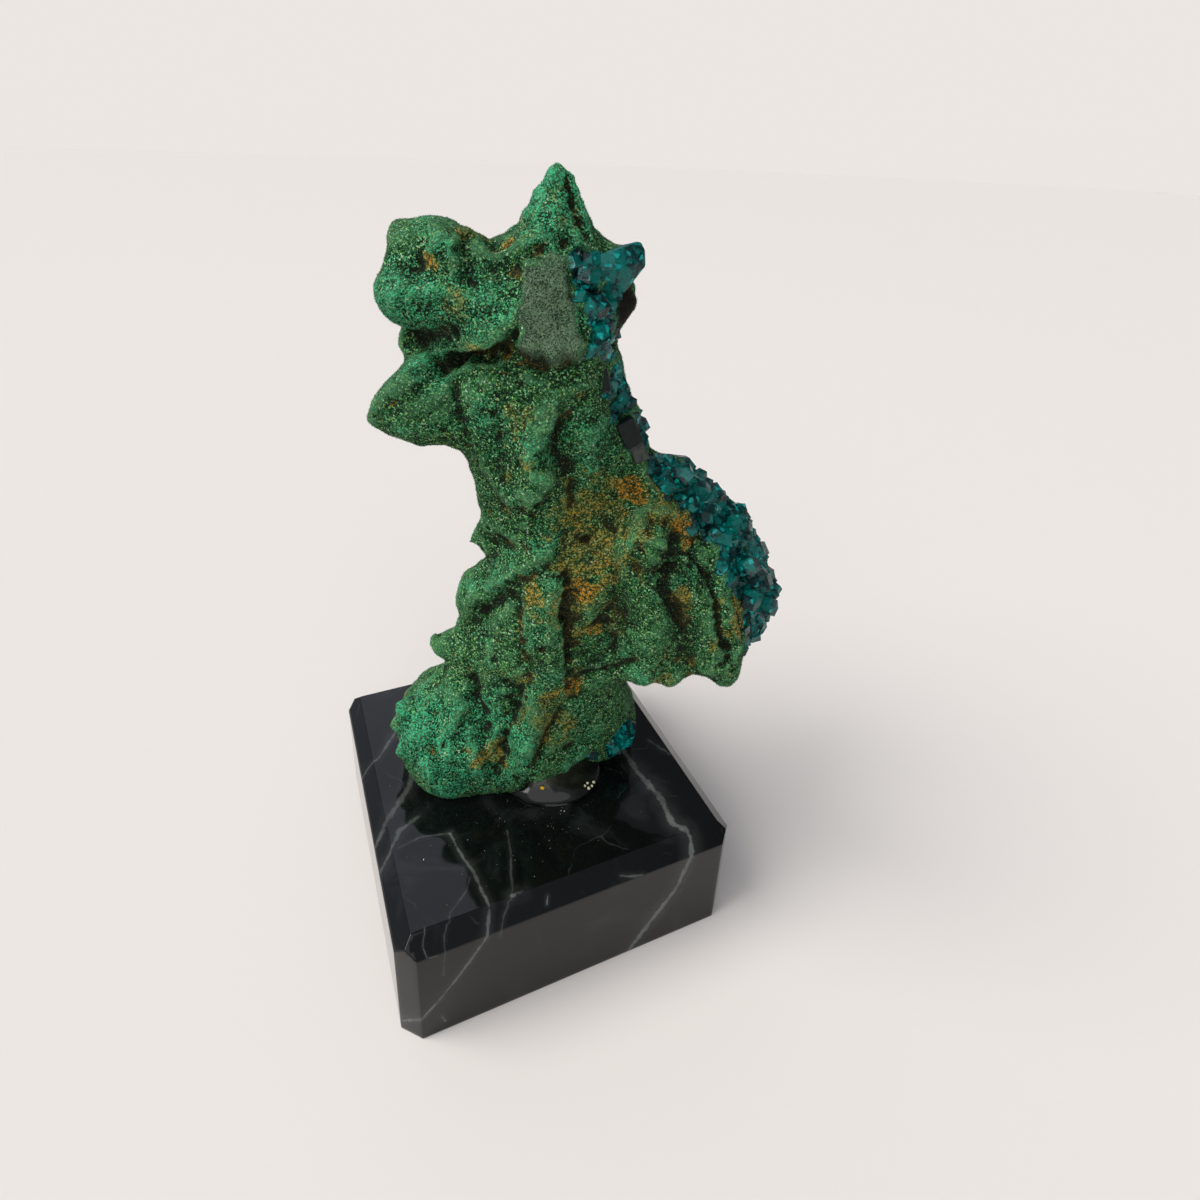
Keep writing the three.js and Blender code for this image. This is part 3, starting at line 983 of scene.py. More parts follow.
    def _soiled(self, s: Shader, colour: Socket, stain: Socket, pick: Socket, lot: Socket) -> Socket:
        """Lay the limonite over the malachite: an olive cast, dark grime and rusty or golden grains.

        Args:
            s: The malachite's bench.
            colour: The malachite's colour.
            stain: The stains' share.
            pick: Each crystal's random number.
            lot: Another random number for each crystal.

        Returns:
            The stained colour.
        """
        clumps = s.plus(s.swing(1.6, 4.0, 0.75, 0.5), s.swing(4.5, 2.0, 0.5))
        soiled = s.span(s.plus(stain, clumps), 0.24, 0.74)
        colour = s.blend(s.times(soiled, 0.42), colour, self.olive)
        grime = s.times(soiled, s.span(pick, 0.26, 0.20, 0.0, 0.80))
        colour = s.blend(grime, colour, self.umber)
        gold = s.blend(s.span(lot, 0.35, 0.60), self.gold, self.ochre)
        gold = s.blend(s.span(stain, 0.72, 0.95, 0.0, 0.85), gold, self.rust)
        rusty = s.times(soiled, s.span(pick, 0.60, 0.68, 0.0, 0.95))
        colour = s.blend(rusty, colour, gold)
        stray = s.times(s.span(pick, 0.86, 0.88), s.span(s.noise(0.9, 2.0, 0.6), 0.50, 0.62, 0.0, 0.5))
        return s.blend(stray, colour, self.gold)


@dataclass
class MalachiteBody:
    """The malachite, shaped from a copy of the CAD specimen by remeshing and worked strokes."""

    coarse: float = 0.85
    fine: float = 0.61
    neck: tuple[float, float] = (112.0, 128.0)
    rib_stretch: float = 0.42
    smoothing: float = 0.85
    gain: float = 1.35
    sink: float = 1.7
    pore_depth: float = 0.8
    plate_rise: float = 0.7
    crack_slit: float = 0.78
    crack_dip: float = 0.22
    finish: MalachiteFinish = field(default_factory=MalachiteFinish)

    def build(self) -> Piece:
        """Make the body.

        Returns:
            The piece that stands for the CAD specimen.
        """
        piece = scene_object("malachite_body", mesh_from(copy_of_node("specimen"), "malachite_cad"))
        Skin.remesh(piece, self.coarse)
        self._shape_masses(piece.data)
        Skin.remesh(piece, self.fine)
        self._shape_detail(piece.data)
        self._tint(piece.data)
        piece.data.shade_smooth()
        piece.data.materials.append(self.finish.material(loose=False))
        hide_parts("specimen")
        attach(piece, "root")
        return piece

    @staticmethod
    def _line(stroke: Stroke, place: Rows, facing: Rows) -> tuple[Rows, Rows, Rows]:
        """Lay a stroke's line on the skin.

        Args:
            stroke: The stroke.
            place: The skin's vertices.
            facing: The skin's normals.

        Returns:
            Each vertex's distance to the line, the stroke's strength there, fading at its ends, and the
            distance to the side of it that looks down and to the right.
        """
        points = np.array(stroke.points, float)
        single = len(points) == 1
        samples, shares, runs = [points[0]], [0.5 if single else 0.0], [np.array([0.0, 0.0, 1.0])]
        lengths = np.linalg.norm(np.diff(points, axis=0), axis=1)
        total, done = max(lengths.sum(), 1e-6), 0.0
        for a, b, length in zip(points, points[1:], lengths):
            for t in np.linspace(0.0, 1.0, max(int(length / 0.8), 1) + 1)[1:]:
                samples.append(a + (b - a) * t)
                shares.append((done + length * t) / total)
                runs.append((b - a) / max(length, 1e-6))
            done += length
        runs[0] = runs[-1] if len(runs) == 1 else runs[1]
        distance = np.full(len(place), FAR)
        strength, lee = np.zeros(len(place)), np.zeros(len(place))
        for sample, share, run in zip(samples, shares, runs):
            nearest = np.argmin(np.sum((place - sample) ** 2, axis=1))
            across = np.cross(run, facing[nearest])
            across *= np.sign(across @ np.array([0.75, -0.2, -0.65])) or 1.0
            offset = place - place[nearest]
            d = np.sqrt(np.sum(offset**2, axis=1))
            end = 1.0 if single else min(1.0, 0.35 + 4.0 * min(share, 1.0 - share))
            nearer = d < distance
            distance = np.where(nearer, d, distance)
            strength = np.where(nearer, end, strength)
            lee = np.where(nearer, offset @ across, lee)
        return distance, strength, lee

    def _worked(self, lines: tuple[Stroke, ...], place: Rows, facing: Rows) -> Rows:
        """Give the height that a set of strokes adds at each vertex.

        Args:
            lines: The strokes.
            place: The skin's vertices.
            facing: The skin's normals.

        Returns:
            The heights.
        """
        height = np.zeros(len(place))
        rough = Noise.layered(place, 2.6, 71)
        for line in lines:
            distance, strength, lee = self._line(line, place, facing)
            d = np.maximum(distance + rough * line.width * 0.55, 0.0) / line.width
            lee = smoothstep(-0.4, 0.4, lee / line.width)
            if line.kind is Kind.RIDGE:
                height += line.height * strength * np.exp(-(d**2))
            elif line.kind is Kind.KEEN:
                steep = np.exp(-((d / 0.75) ** 2)) - 0.22 * np.exp(-(((d - 1.7) / 0.9) ** 2))
                height += line.height * strength * (lee * steep + (1.0 - lee) * np.exp(-((d / 1.9) ** 1.5)))
            elif line.kind is Kind.GROOVE:
                cut = 0.6 * np.exp(-(d**2)) + 0.4 * np.clip(1.0 - d / 0.6, 0.0, 1.0)
                height -= line.height * strength * cut
            else:
                height -= self.crack_slit * line.height * strength * np.clip(1.0 - d, 0.0, 1.0)
                height -= self.crack_dip * line.height * strength * np.exp(-((d / 2.4) ** 2))
        return height

    def _shape_masses(self, mesh: Mesh) -> None:
        """Work the lumps, ribs, ridges and hollows into the coarse skin.

        Args:
            mesh: The skin.
        """
        links = Skin.links(mesh)
        Skin.write(mesh, Skin.relaxed(Skin.read(mesh)[0], links, 5))
        place, facing = Skin.read(mesh)
        facing = Skin.relaxed(facing, links, 5)
        facing /= np.linalg.norm(facing, axis=1)[:, None]
        z = place[:, 2]
        head = smoothstep(*self.neck, z)
        ribs = place * np.array([1.0, 1.0, self.rib_stretch])
        warp = Noise.warp(place, 9.0, (1, 2, 3), 2.6)
        height = 0.8 * Noise.layered(place, 15.0, 4, 2)
        calm = 1.0 - self.smoothing * cover(SMOOTHS, place, Noise.layered(place, 6.0, 9, 2))
        height += calm * (1.0 - head) * 0.85 * Noise.pillows(ribs + warp, 8.0, 5)
        height += calm * head * 0.75 * Noise.pillows(place + warp, 8.5, 6)
        height += calm * 0.20 * Noise.pillows(place + warp, 3.8, 8)
        height += self.gain * self._worked(FORMS, place, facing)
        height -= self.sink * cover(CRUSTS, place, Noise.layered(place, 3.0, 91, 2))
        height *= smoothstep(PLINTH_TOP - 1.0, PLINTH_TOP + 4.0, z)
        Skin.write(mesh, self._flattened(place + facing * height[:, None]))

    def _flattened(self, place: Rows) -> Rows:
        """Press the broken plate flat.

        Args:
            place: The skin's vertices.

        Returns:
            The vertices, with the plate's on its plane.
        """
        facing = np.array(PLATE.facing, float)
        facing /= np.linalg.norm(facing)
        above = (place - np.array(PLATE.centre, float)) @ facing
        amount = smoothstep(1.05, 0.95, self._plate_reach(place)) * (np.abs(above) < 6.0)
        return place - facing * ((above - self.plate_rise) * amount)[:, None]

    @staticmethod
    def _plate_reach(place: Rows) -> Rows:
        """Tell how far each vertex lies from the middle of the broken plate.

        Args:
            place: The skin's vertices.

        Returns:
            The distances, as a share of the plate's reach.
        """
        rise = place[:, 2] - PLATE.centre[2]
        half = np.clip(PLATE.width - PLATE.flare * rise, 5.0, 14.0) / 2.0
        along = np.abs(place[:, 0] - PLATE.left - half) / half
        return (along**8 + np.abs(rise / PLATE.reach) ** 8) ** 0.125 + 0.20 * Noise.layered(place, 2.6, 32, 2)

    def _plate_share(self, place: Rows) -> Rows:
        """Tell how far each vertex belongs to the broken plate or the hump above it."""
        share = smoothstep(1.06, 0.96, self._plate_reach(place)) * (place[:, 1] < PLATE.centre[1] + 7.0)
        return np.maximum(share, cover(HUMP, place, Noise.layered(place, 3.2, 33, 2)))

    def _shape_detail(self, mesh: Mesh) -> None:
        """Work the cracks, pits and crystal roughness into the fine skin.

        Args:
            mesh: The skin.
        """
        links = Skin.links(mesh)
        Skin.write(mesh, Skin.relaxed(Skin.read(mesh)[0], links, 1))
        place, facing = Skin.read(mesh)
        smooth = Skin.relaxed(facing, links, 4)
        smooth /= np.linalg.norm(smooth, axis=1)[:, None]
        warp = Noise.warp(place, 4.0, (41, 42, 43), 1.3)
        height = 0.10 * Noise.ridged(place + warp, 3.4, 51)
        height += 0.11 * Noise.layered(place, 1.7, 53, 2)
        height -= self.pore_depth * smoothstep(0.62, 0.85, Noise.layered(place + warp, 4.2, 54, 2))
        height *= 1.0 - 0.8 * self._plate_share(place)
        height += self._worked(CRACKS, place, smooth)
        height *= smoothstep(PLINTH_TOP + 0.2, PLINTH_TOP + 3.0, place[:, 2])
        Skin.write(mesh, place + smooth * height[:, None])

    def _tint(self, mesh: Mesh) -> None:
        """Store the colour shares, the relief from hollow to crest, which rises on upward-facing skin and
        carries the painted light and shade, and where the down grows.

        Args:
            mesh: The skin.
        """
        place, facing = Skin.read(mesh)
        links = Skin.links(mesh)
        # The relief from hollow to crest, with grooves and cracks cut into it: the colour turns it into
        # painted shade in hollows and cracks and a painted sheen on crests.
        near = np.sum((place - Skin.relaxed(place, links, 8)) * facing, axis=1)
        wide = np.sum((place - Skin.relaxed(place, links, 60)) * facing, axis=1)
        grooves = tuple(line for line in FORMS if line.kind is Kind.GROOVE)
        carved = 0.05 * self._worked(grooves, place, facing) + 0.26 * self._worked(CRACKS, place, facing)
        # Upward-facing skin raises the relief and downward-facing skin lowers it: painted light on tops and
        # painted shade underneath.
        crest = 0.18 * Skin.relaxed(facing, links, 12)[:, 2]
        relief = np.clip(0.5 + 1.1 * near + 0.34 * wide + carved + crest, 0.0, 1.0)
        fray = Noise.layered(place, 3.5, 61)
        stain, mint_and_light, crust = (cover(areas, place, fray) for areas in (STAINS, MINT_AND_LIGHT_PATCHES, CRUSTS))
        stain = np.maximum(stain, 0.42 * smoothstep(0.25, 0.75, Noise.layered(place, 13.0, 62)))
        seams = smoothstep(0.42, 0.24, relief) * smoothstep(-0.3, 0.3, Noise.layered(place, 10.0, 64, 2))
        stain = np.maximum(stain, 0.5 * seams)
        mint_and_light = np.maximum(mint_and_light, 0.5 * smoothstep(0.1, 0.7, Noise.layered(place, 11.0, 63)))
        knob = cover(KNOB, place, 0.4 * fray)
        plate = self._plate_share(place)
        bare = np.maximum.reduce([crust, 0.4 * knob, 0.2 * plate])
        down = (1.0 - bare) * smoothstep(0.06, 0.26, relief)
        down = down * smoothstep(PLINTH_TOP + 0.5, PLINTH_TOP + 1.2, place[:, 2])
        Skin.store(mesh, "tint", np.stack([stain, mint_and_light, crust, knob], 1))
        for name, values in (("relief", relief), ("plate", plate), ("down", down)):
            Skin.store(mesh, name, values)


@dataclass
class CrystalDown:
    """The down of tiny malachite crystals that covers the body, in a few joined sheets."""

    sheets: int = 4
    density: float = 2.15
    radius: float = 0.115
    length: float = 0.52
    rooted: float = 0.45
    lean: float = 0.85
    smallest: Point = (0.6, 0.6, 0.5)
    largest: Point = (1.3, 1.3, 1.3)
    finish: MalachiteFinish = field(default_factory=MalachiteFinish)

    def build(self, body: Piece) -> list[Piece]:
        """Grow the down.

        Args:
            body: The malachite that it grows on, with its attributes.

        Returns:
            The sheets, each a joined mesh of its crystals.
        """
        material = self.finish.material(loose=True)
        sheets = []
        for k in range(self.sheets):
            sheet = scene_object(f"malachite_down_{k + 1}", body.data.copy())
            sheet.modifiers.new("grow", "NODES").node_group = self._tree(k)
            sheet.data = evaluated_mesh(sheet)
            sheet.data.materials.clear()
            sheet.data.materials.append(material)
            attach(sheet, "root")
            sheets.append(sheet)
        return sheets

    def _tree(self, seed: int) -> bpy.types.NodeTree:
        """Wire the nodes that scatter one sheet's crystals over the body.

        Args:
            seed: Which scatter.

        Returns:
            The node group.
        """
        tree = bpy.data.node_groups.new("crystal_down", "GeometryNodeTree")
        for way in ("INPUT", "OUTPUT"):
            tree.interface.new_socket("Geometry", in_out=way, socket_type="NodeSocketGeometry")
        b = Bench(tree)
        skin = b.add("NodeGroupInput").outputs[0]
        share = b.add("GeometryNodeInputNamedAttribute", {"Name": "down"}).outputs["Attribute"]
        thick = b.add("ShaderNodeMath", {0: share, 1: self.density / MM**2}, operation="MULTIPLY").outputs[0]
        spread = {"Mesh": skin, "Density": thick, "Seed": seed}
        points, normal = b.add("GeometryNodeDistributePointsOnFaces", spread).outputs[:2]
        tilt = self._random(b, (-self.lean,) * 3, (self.lean,) * 3, seed + 20)
        way = b.add("ShaderNodeVectorMath", {0: normal, 1: tilt}).outputs[0]
        aim = b.add("FunctionNodeAlignRotationToVector", {"Vector": way}, axis="Z").outputs["Rotation"]
        size = {"Radius Top": 0.0, "Radius Bottom": self.radius * MM, "Depth": self.length * MM}
        spike = b.add("GeometryNodeMeshCone", {"Vertices": 3, **size}).outputs["Mesh"]
        low = (0.0, 0.0, -self.rooted * self.length * MM)
        spike = b.add("GeometryNodeTransform", {"Geometry": spike, "Translation": low}).outputs["Geometry"]
        grown = self._random(b, self.smallest, self.largest, seed + 40)
        each = {"Points": points, "Instance": spike, "Rotation": aim, "Scale": grown}
        stand = b.add("GeometryNodeInstanceOnPoints", each).outputs["Instances"]
        pick = b.add("FunctionNodeRandomValue", {"Seed": seed + 60}).outputs[1]
        mark = {"Geometry": stand, "Name": "pick", "Value": pick}
        marked = b.add("GeometryNodeStoreNamedAttribute", mark, domain="INSTANCE").outputs["Geometry"]
        real = b.add("GeometryNodeRealizeInstances", {"Geometry": marked}).outputs["Geometry"]
        b.add("NodeGroupOutput", {0: real})
        return tree

    @staticmethod
    def _random(b: Bench, low: Point, high: Point, seed: int) -> Socket:
        """Draw a random vector for each point."""
        ends = {0: low, 1: high, "Seed": seed}
        return b.add("FunctionNodeRandomValue", ends, data_type="FLOAT_VECTOR").outputs[0]


# --- The dioptase crust -------------------------------------------------------------------------------


@dataclass(frozen=True)
class DioptaseFinish:
    """Deep teal see-through dioptase, darker and brighter from crystal to crystal, with small painted
    highlights.
    """

    dark: Colour = (0.001, 0.026, 0.027)
    teal: Colour = (0.001, 0.165, 0.140)
    bright: Colour = (0.010, 0.520, 0.480)
    soak: Colour = (0.03, 0.70, 0.66)
    density: float = 420.0
    ior: float = 1.60
    clear: float = 0.25

    def material(self) -> bpy.types.Material:
        """Wire the dioptase.

        Returns:
            The finished material.
        """
        s = Shader("dioptase")
        lots = s.channels(s.cells(2.3).outputs["Color"])[0]
        bits = s.channels(s.cells(0.9).outputs["Color"])[0]
        tone = s.plus(s.times(lots, 0.35), s.noise(1.8, 5.0, 0.7, 0.5))
        colour = s.blend(s.span(tone, 0.54, 0.78), self.dark, self.teal)
        # Painted highlights: small bright teal spots stand for light shining through the crystals.
        colour = s.blend(s.span(bits, 0.90, 0.94, 0.0, 0.75), colour, self.bright)
        rough = s.span(s.noise(0.9, 3.0, 0.6), 0.35, 0.7, 0.06, 0.30)
        normal = s.bump(s.noise(1.5, 4.0, 0.65, 0.8), 0.4, 0.7)
        normal = s.bump(s.cells(0.6).outputs["Distance"], 0.06, 0.4, normal)
        s.set(Base_Color=colour, Roughness=rough, Normal=normal)
        s.set(IOR=self.ior, Transmission_Weight=self.clear, Specular_IOR_Level=0.1)
        soak = s.add("ShaderNodeVolumeAbsorption", {"Color": self.soak, "Density": self.density})
        s.put(s.output.inputs["Volume"], soak.outputs[0])
        return s.material


@dataclass(frozen=True)
class Crystal:
    """One of the larger crystals, with its middle, its long way, its radius and its length."""

    middle: Point
    way: Point
    radius: float
    length: float

    @property
    def root(self) -> Vector:
        """Where its buried end is."""
        return Vector(self.middle) - Vector(self.way).normalized() * self.length / 2


HORN = (
    (12.0, 2.5, 157.0),
    (12.0, -4.5, 157.2),
    (16.8, 2.0, 157.9),
    (16.6, -3.6, 158.2),
    (21.9, 0.3, 160.0),
    (22.9, -0.8, 158.4),
    (22.8, 1.6, 158.2),
    (23.2, -1.0, 155.4),
    (22.9, 2.0, 155.4),
    (21.6, -1.8, 153.4),
    (21.4, 2.0, 153.4),
    (19.2, -3.2, 150.6),
    (19.0, 1.6, 150.4),
    (15.4, -4.6, 150.8),
    (15.0, 2.5, 150.2),
    (11.5, -5.0, 153.0),
    (11.5, 2.5, 152.0),
    (17.4, -5.0, 154.8),
    (20.6, -3.4, 156.0),
)

LARGE_CRYSTALS = (
    Crystal((12, -9, 154), (0.2, -0.7, 0.6), 2.4, 4.5),
    Crystal((13.5, -10, 149), (0.3, -0.8, 0.1), 2.6, 4.5),
    Crystal((14.5, -11, 144.5), (0.3, -0.8, -0.2), 2.3, 4.5),
    Crystal((26, -1, 38), (0.15, -0.1, 1.0), 2.8, 6.4),
    Crystal((23, -3, 34.5), (0.5, -0.4, 0.7), 1.8, 4.5),
    Crystal((34, -2, 111), (0.5, -0.5, 0.4), 2.2, 4.6),
    Crystal((39, -4, 104), (0.4, -0.6, 0.3), 2.4, 4.8),
    Crystal((46, -2, 100), (0.5, -0.3, 0.6), 2.2, 4.8),
    Crystal((50, -5, 92), (0.3, -0.7, 0.3), 2.3, 4.6),
    Crystal((51, -6, 84), (0.2, -0.8, 0.2), 2.6, 4.8),
    Crystal((56, -3, 80), (0.7, -0.4, 0.1), 2.2, 4.6),
)


@dataclass
class DioptaseCrust:
    """Stubby dioptase crystals, grown together into one crust on the malachite."""

    spacing: float = 1.7
    radius: tuple[float, float] = (1.0, 2.5)
    length: tuple[float, float] = (2.2, 3.6)
    tip: tuple[float, float] = (0.25, 0.6)
    lean: float = 0.28
    rooted: float = 0.87
    rim: float = 0.35
    horn_bevel: float = 0.3
    seed: int = 20
    large: tuple[Crystal, ...] = LARGE_CRYSTALS
    finish: DioptaseFinish = field(default_factory=DioptaseFinish)

    def build(self, body: Piece) -> Piece:
        """Grow the crust.

        Args:
            body: The malachite that the crystals stand on.

        Returns:
            The crust as one closed piece.
        """
        rng = np.random.default_rng(self.seed)
        crystals = [self._grow(place, facing, rng) for place, facing in self._seats(body.data, rng)]
        crystals += [self._stand(c.radius, c.length, Vector(c.way), c.root, rng) for c in self.large]
        layers = self._layers([(middle, reach) for _, middle, reach in crystals])
        pieces = []
        for layer in layers:
            form = bmesh.new()
            for k in layer:
                form.from_mesh(crystals[k][0])
            pieces.append(scene_object("crust_layer", mesh_from(form, "crust_layer")))
        crust = pieces[0]
        for other in [*pieces[1:], scene_object("crust_layer", self._horn())]:
            weld = crust.modifiers.new("weld", "BOOLEAN")
            weld.operation, weld.solver, weld.object = "UNION", "MANIFOLD", other
            crust.data = evaluated_mesh(crust)
            bpy.data.objects.remove(other)
        crust.name = "dioptase_crust"
        crust.data.materials.clear()
        crust.data.materials.append(self.finish.material())
        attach(crust, "root")
        LOG.info("dioptase crust: %d crystals in %d layers", len(crystals), len(layers))
        return crust

    def _horn(self) -> Mesh:
        """Make the wedge-shaped horn as the hull of its corners, with softened edges.

        Returns:
            The horn's mesh in the row frame.
        """
        form = bmesh.new()
        for corner in HORN:
            bmesh.ops.create_vert(form, co=corner)
        hull = bmesh.ops.convex_hull(form, input=form.verts)
        inside = [v for v in hull["geom_interior"] if isinstance(v, bmesh.types.BMVert)]
        bmesh.ops.delete(form, geom=inside, context="VERTS")
        keen = [e for e in form.edges if e.calc_face_angle() > 0.2]
        ease = {"offset": self.horn_bevel, "affect": "EDGES", "segments": 2, "profile": 0.5, "material": -1}
        bmesh.ops.bevel(form, geom=keen, **ease)
        form.transform(Matrix.Scale(MM, 4) @ Matrix.Rotation(SPECIMEN_TURN, 4, "Z"))
        return mesh_from(form, "crust_layer")

    def _seats(self, mesh: Mesh, rng: np.random.Generator) -> list[tuple[Rows, Rows]]:
        """Choose where crystals stand, evenly scattered over the crust patches.

        Args:
            mesh: The malachite's mesh.
            rng: The random draws.

        Returns:
            Each seat's place and facing in the specimen's own directions.
        """
        place, facing = Skin.read(mesh)
        share = cover(CRUSTS, place, Noise.layered(place, 3.0, 91, 2))
        chosen = np.empty((0, 3))
        seats = []
        for k in rng.permutation(np.flatnonzero(share > self.rim)):
            gap = self.spacing * (0.8 + 0.5 * rng.random())
            if len(chosen) and np.min(np.sum((chosen - place[k]) ** 2, axis=1)) < gap**2:
                continue
            chosen = np.vstack([chosen, place[k]])
            seats.append((place[k], facing[k]))
        return seats

    def _grow(self, place: Rows, facing: Rows, rng: np.random.Generator) -> tuple[Mesh, Rows, float]:
        """Grow one small crystal on its seat.

        Args:
            place: The seat's place in the specimen's own directions.
            facing: The way the seat looks.
            rng: The random draws.

        Returns:
            What _stand gives.
        """
        low, high = self.radius
        radius = low + (high - low) * rng.random() ** 1.3
        length = rng.uniform(*self.length) * (0.6 + 0.45 * radius)
        way = Vector(facing + rng.normal(0.0, self.lean, 3)).normalized()
        return self._stand(radius, length, way, Vector(place) - way * length * self.rooted, rng)

    def _stand(
        self, radius: float, length: float, way: Vector, root: Vector, rng: np.random.Generator
    ) -> tuple[Mesh, Rows, float]:
        """Make one crystal and stand it on its root.

        Args:
            radius: The crystal's radius.
            length: Its length.
            way: The direction it grew in.
            root: Where its buried end is.
            rng: The random draws.

        Returns:
            The crystal's mesh in the row frame, its middle and its reach, in millimetres.
        """
        mesh = self._crystal(radius, length, rng.uniform(*self.tip))
        spin = Matrix.Rotation(rng.uniform(0.0, math.tau), 4, "Z")
        aim = way.to_track_quat("Z", "Y").to_matrix().to_4x4()
        stand = Matrix.Rotation(SPECIMEN_TURN, 4, "Z") @ Matrix.Translation(root) @ aim @ spin
        mesh.transform(Matrix.Scale(MM, 4) @ stand)
        return mesh, np.array(root + way.normalized() * length * 0.5), 0.5 * length + radius

    @staticmethod
    def _crystal(radius: float, length: float, tip: float) -> Mesh:
        """Make a six-sided prism ended by three slanted faces at each end.

        Args:
            radius: The crystal's radius.
            length: Its length.
            tip: How far its ends rise, as a share of the radius.

        Returns:
            The crystal's mesh, standing on the origin.
        """
        form = bmesh.new()
        bmesh.ops.create_cone(form, cap_ends=True, segments=6, radius1=radius, radius2=radius, depth=length)
        bmesh.ops.translate(form, verts=form.verts, vec=(0.0, 0.0, length / 2.0))
        for cap in [f for f in form.faces if len(f.verts) == 6]:
            top = cap.calc_center_median().z > length / 2.0
            drop = -tip * radius if top else tip * radius
            poked = bmesh.ops.poke(form, faces=[cap])["verts"][0]
            ring = [e.other_vert(poked) for e in poked.link_edges]
            ring.sort(key=lambda v: math.atan2(v.co.y, v.co.x))
            poked.co.z -= drop
            for v in ring[::2]:
                v.co.z += drop
        return mesh_from(form, "crystal")

    @staticmethod
    def _layers(spheres: list[tuple[Rows, float]]) -> list[list[int]]:
        """Sort the crystals into layers within which none touches another.

        Args:
            spheres: Each crystal's middle and reach.

        Returns:
            The crystals' numbers, layer by layer.
        """
        middle = np.array([m for m, _ in spheres])
        reach = np.array([r for _, r in spheres])
        layers: list[list[int]] = []
        for k in range(len(spheres)):
            for layer in layers:
                d = np.linalg.norm(middle[layer] - middle[k], axis=1)
                if np.all(d > reach[layer] + reach[k]):
                    layer.append(k)
                    break
            else:
                layers.append([k])
        return layers


def plain_stone(name: str, colour: Colour, spot: float, rough: float) -> Shader:
    """Wire a plain mineral, patchy between its colour and a darker one.

    Args:
        name: The material's name.
        colour: The lighter colour.
        spot: The patches' size.
        rough: The roughness.

    Returns:
        The material's bench.
    """
    s = Shader(name)
    patchy = s.span(s.noise(spot, 3.0 if spot > 1.0 else 2.0, 0.6), 0.35, 0.65)
    s.set(Base_Color=s.blend(patchy, colour, tuple(0.45 * c for c in colour)), Roughness=rough)
    return s


@dataclass(frozen=True)
class Block:
    """One dark cleaved block, with its middle, the way its face looks, its roll, size and colour."""

    middle: Point
    facing: Point
    roll: float
    size: Point
    colour: Colour


@dataclass
class CleavedBlocks:
    """Dark blocks with flat cleaved faces, sunk in the malachite beside the crust."""

    blocks: tuple[Block, ...] = (
        Block((21.8, -3.9, 122.0), (0.30, -0.92, 0.12), -25.0, (4.0, 2.6, 5.8), (0.004, 0.010, 0.009)),
        Block((24.2, -3.3, 117.4), (0.10, -0.90, 0.35), -25.0, (3.2, 2.4, 4.2), (0.055, 0.065, 0.055)),
        Block((15.2, -7.2, 134.0), (0.35, -0.90, 0.10), -12.0, (3.4, 2.6, 4.6), (0.004, 0.012, 0.010)),
    )
    bevel: float = 0.18

    def build(self) -> Piece:
        """Make the blocks.

        Returns:
            The blocks as one piece.
        """
        form = bmesh.new()
        ease = {"offset": self.bevel, "segments": 1, "profile": 0.5, "affect": "EDGES", "material": -1}
        for k, block in enumerate(self.blocks):
            cube = bmesh.new()
            bmesh.ops.create_cube(cube, size=1.0)
            bmesh.ops.scale(cube, verts=cube.verts, vec=block.size)
            bmesh.ops.bevel(cube, geom=cube.edges, **ease)
            aim = (-Vector(block.facing)).to_track_quat("Y", "Z").to_matrix().to_4x4()
            roll = Matrix.Rotation(math.radians(block.roll), 4, "Y")
            turn = Matrix.Rotation(SPECIMEN_TURN, 4, "Z")
            cube.transform(Matrix.Scale(MM, 4) @ turn @ Matrix.Translation(block.middle) @ aim @ roll)
            for face in cube.faces:
                face.material_index = k
            form.from_mesh(mesh_from(cube, "block"))
        piece = scene_object("cleaved_blocks", mesh_from(form, "cleaved_blocks"))
        for block in self.blocks:
            piece.data.materials.append(self._face(block.colour))
        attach(piece, "root")
        return piece

    @staticmethod
    def _face(colour: Colour) -> bpy.types.Material:
        """Wire a dull cleaved face.

        Args:
            colour: The face's colour.

        Returns:
            The finished material.
        """
        s = plain_stone("cleaved_face", colour, 1.2, 0.42)
        s.set(Normal=s.bump(s.noise(0.6, 3.0, 0.6), 0.08, 0.6), IOR=1.5, Specular_IOR_Level=0.25)
        return s.material


# --- The adhesive and the crumbs ----------------------------------------------------------------------


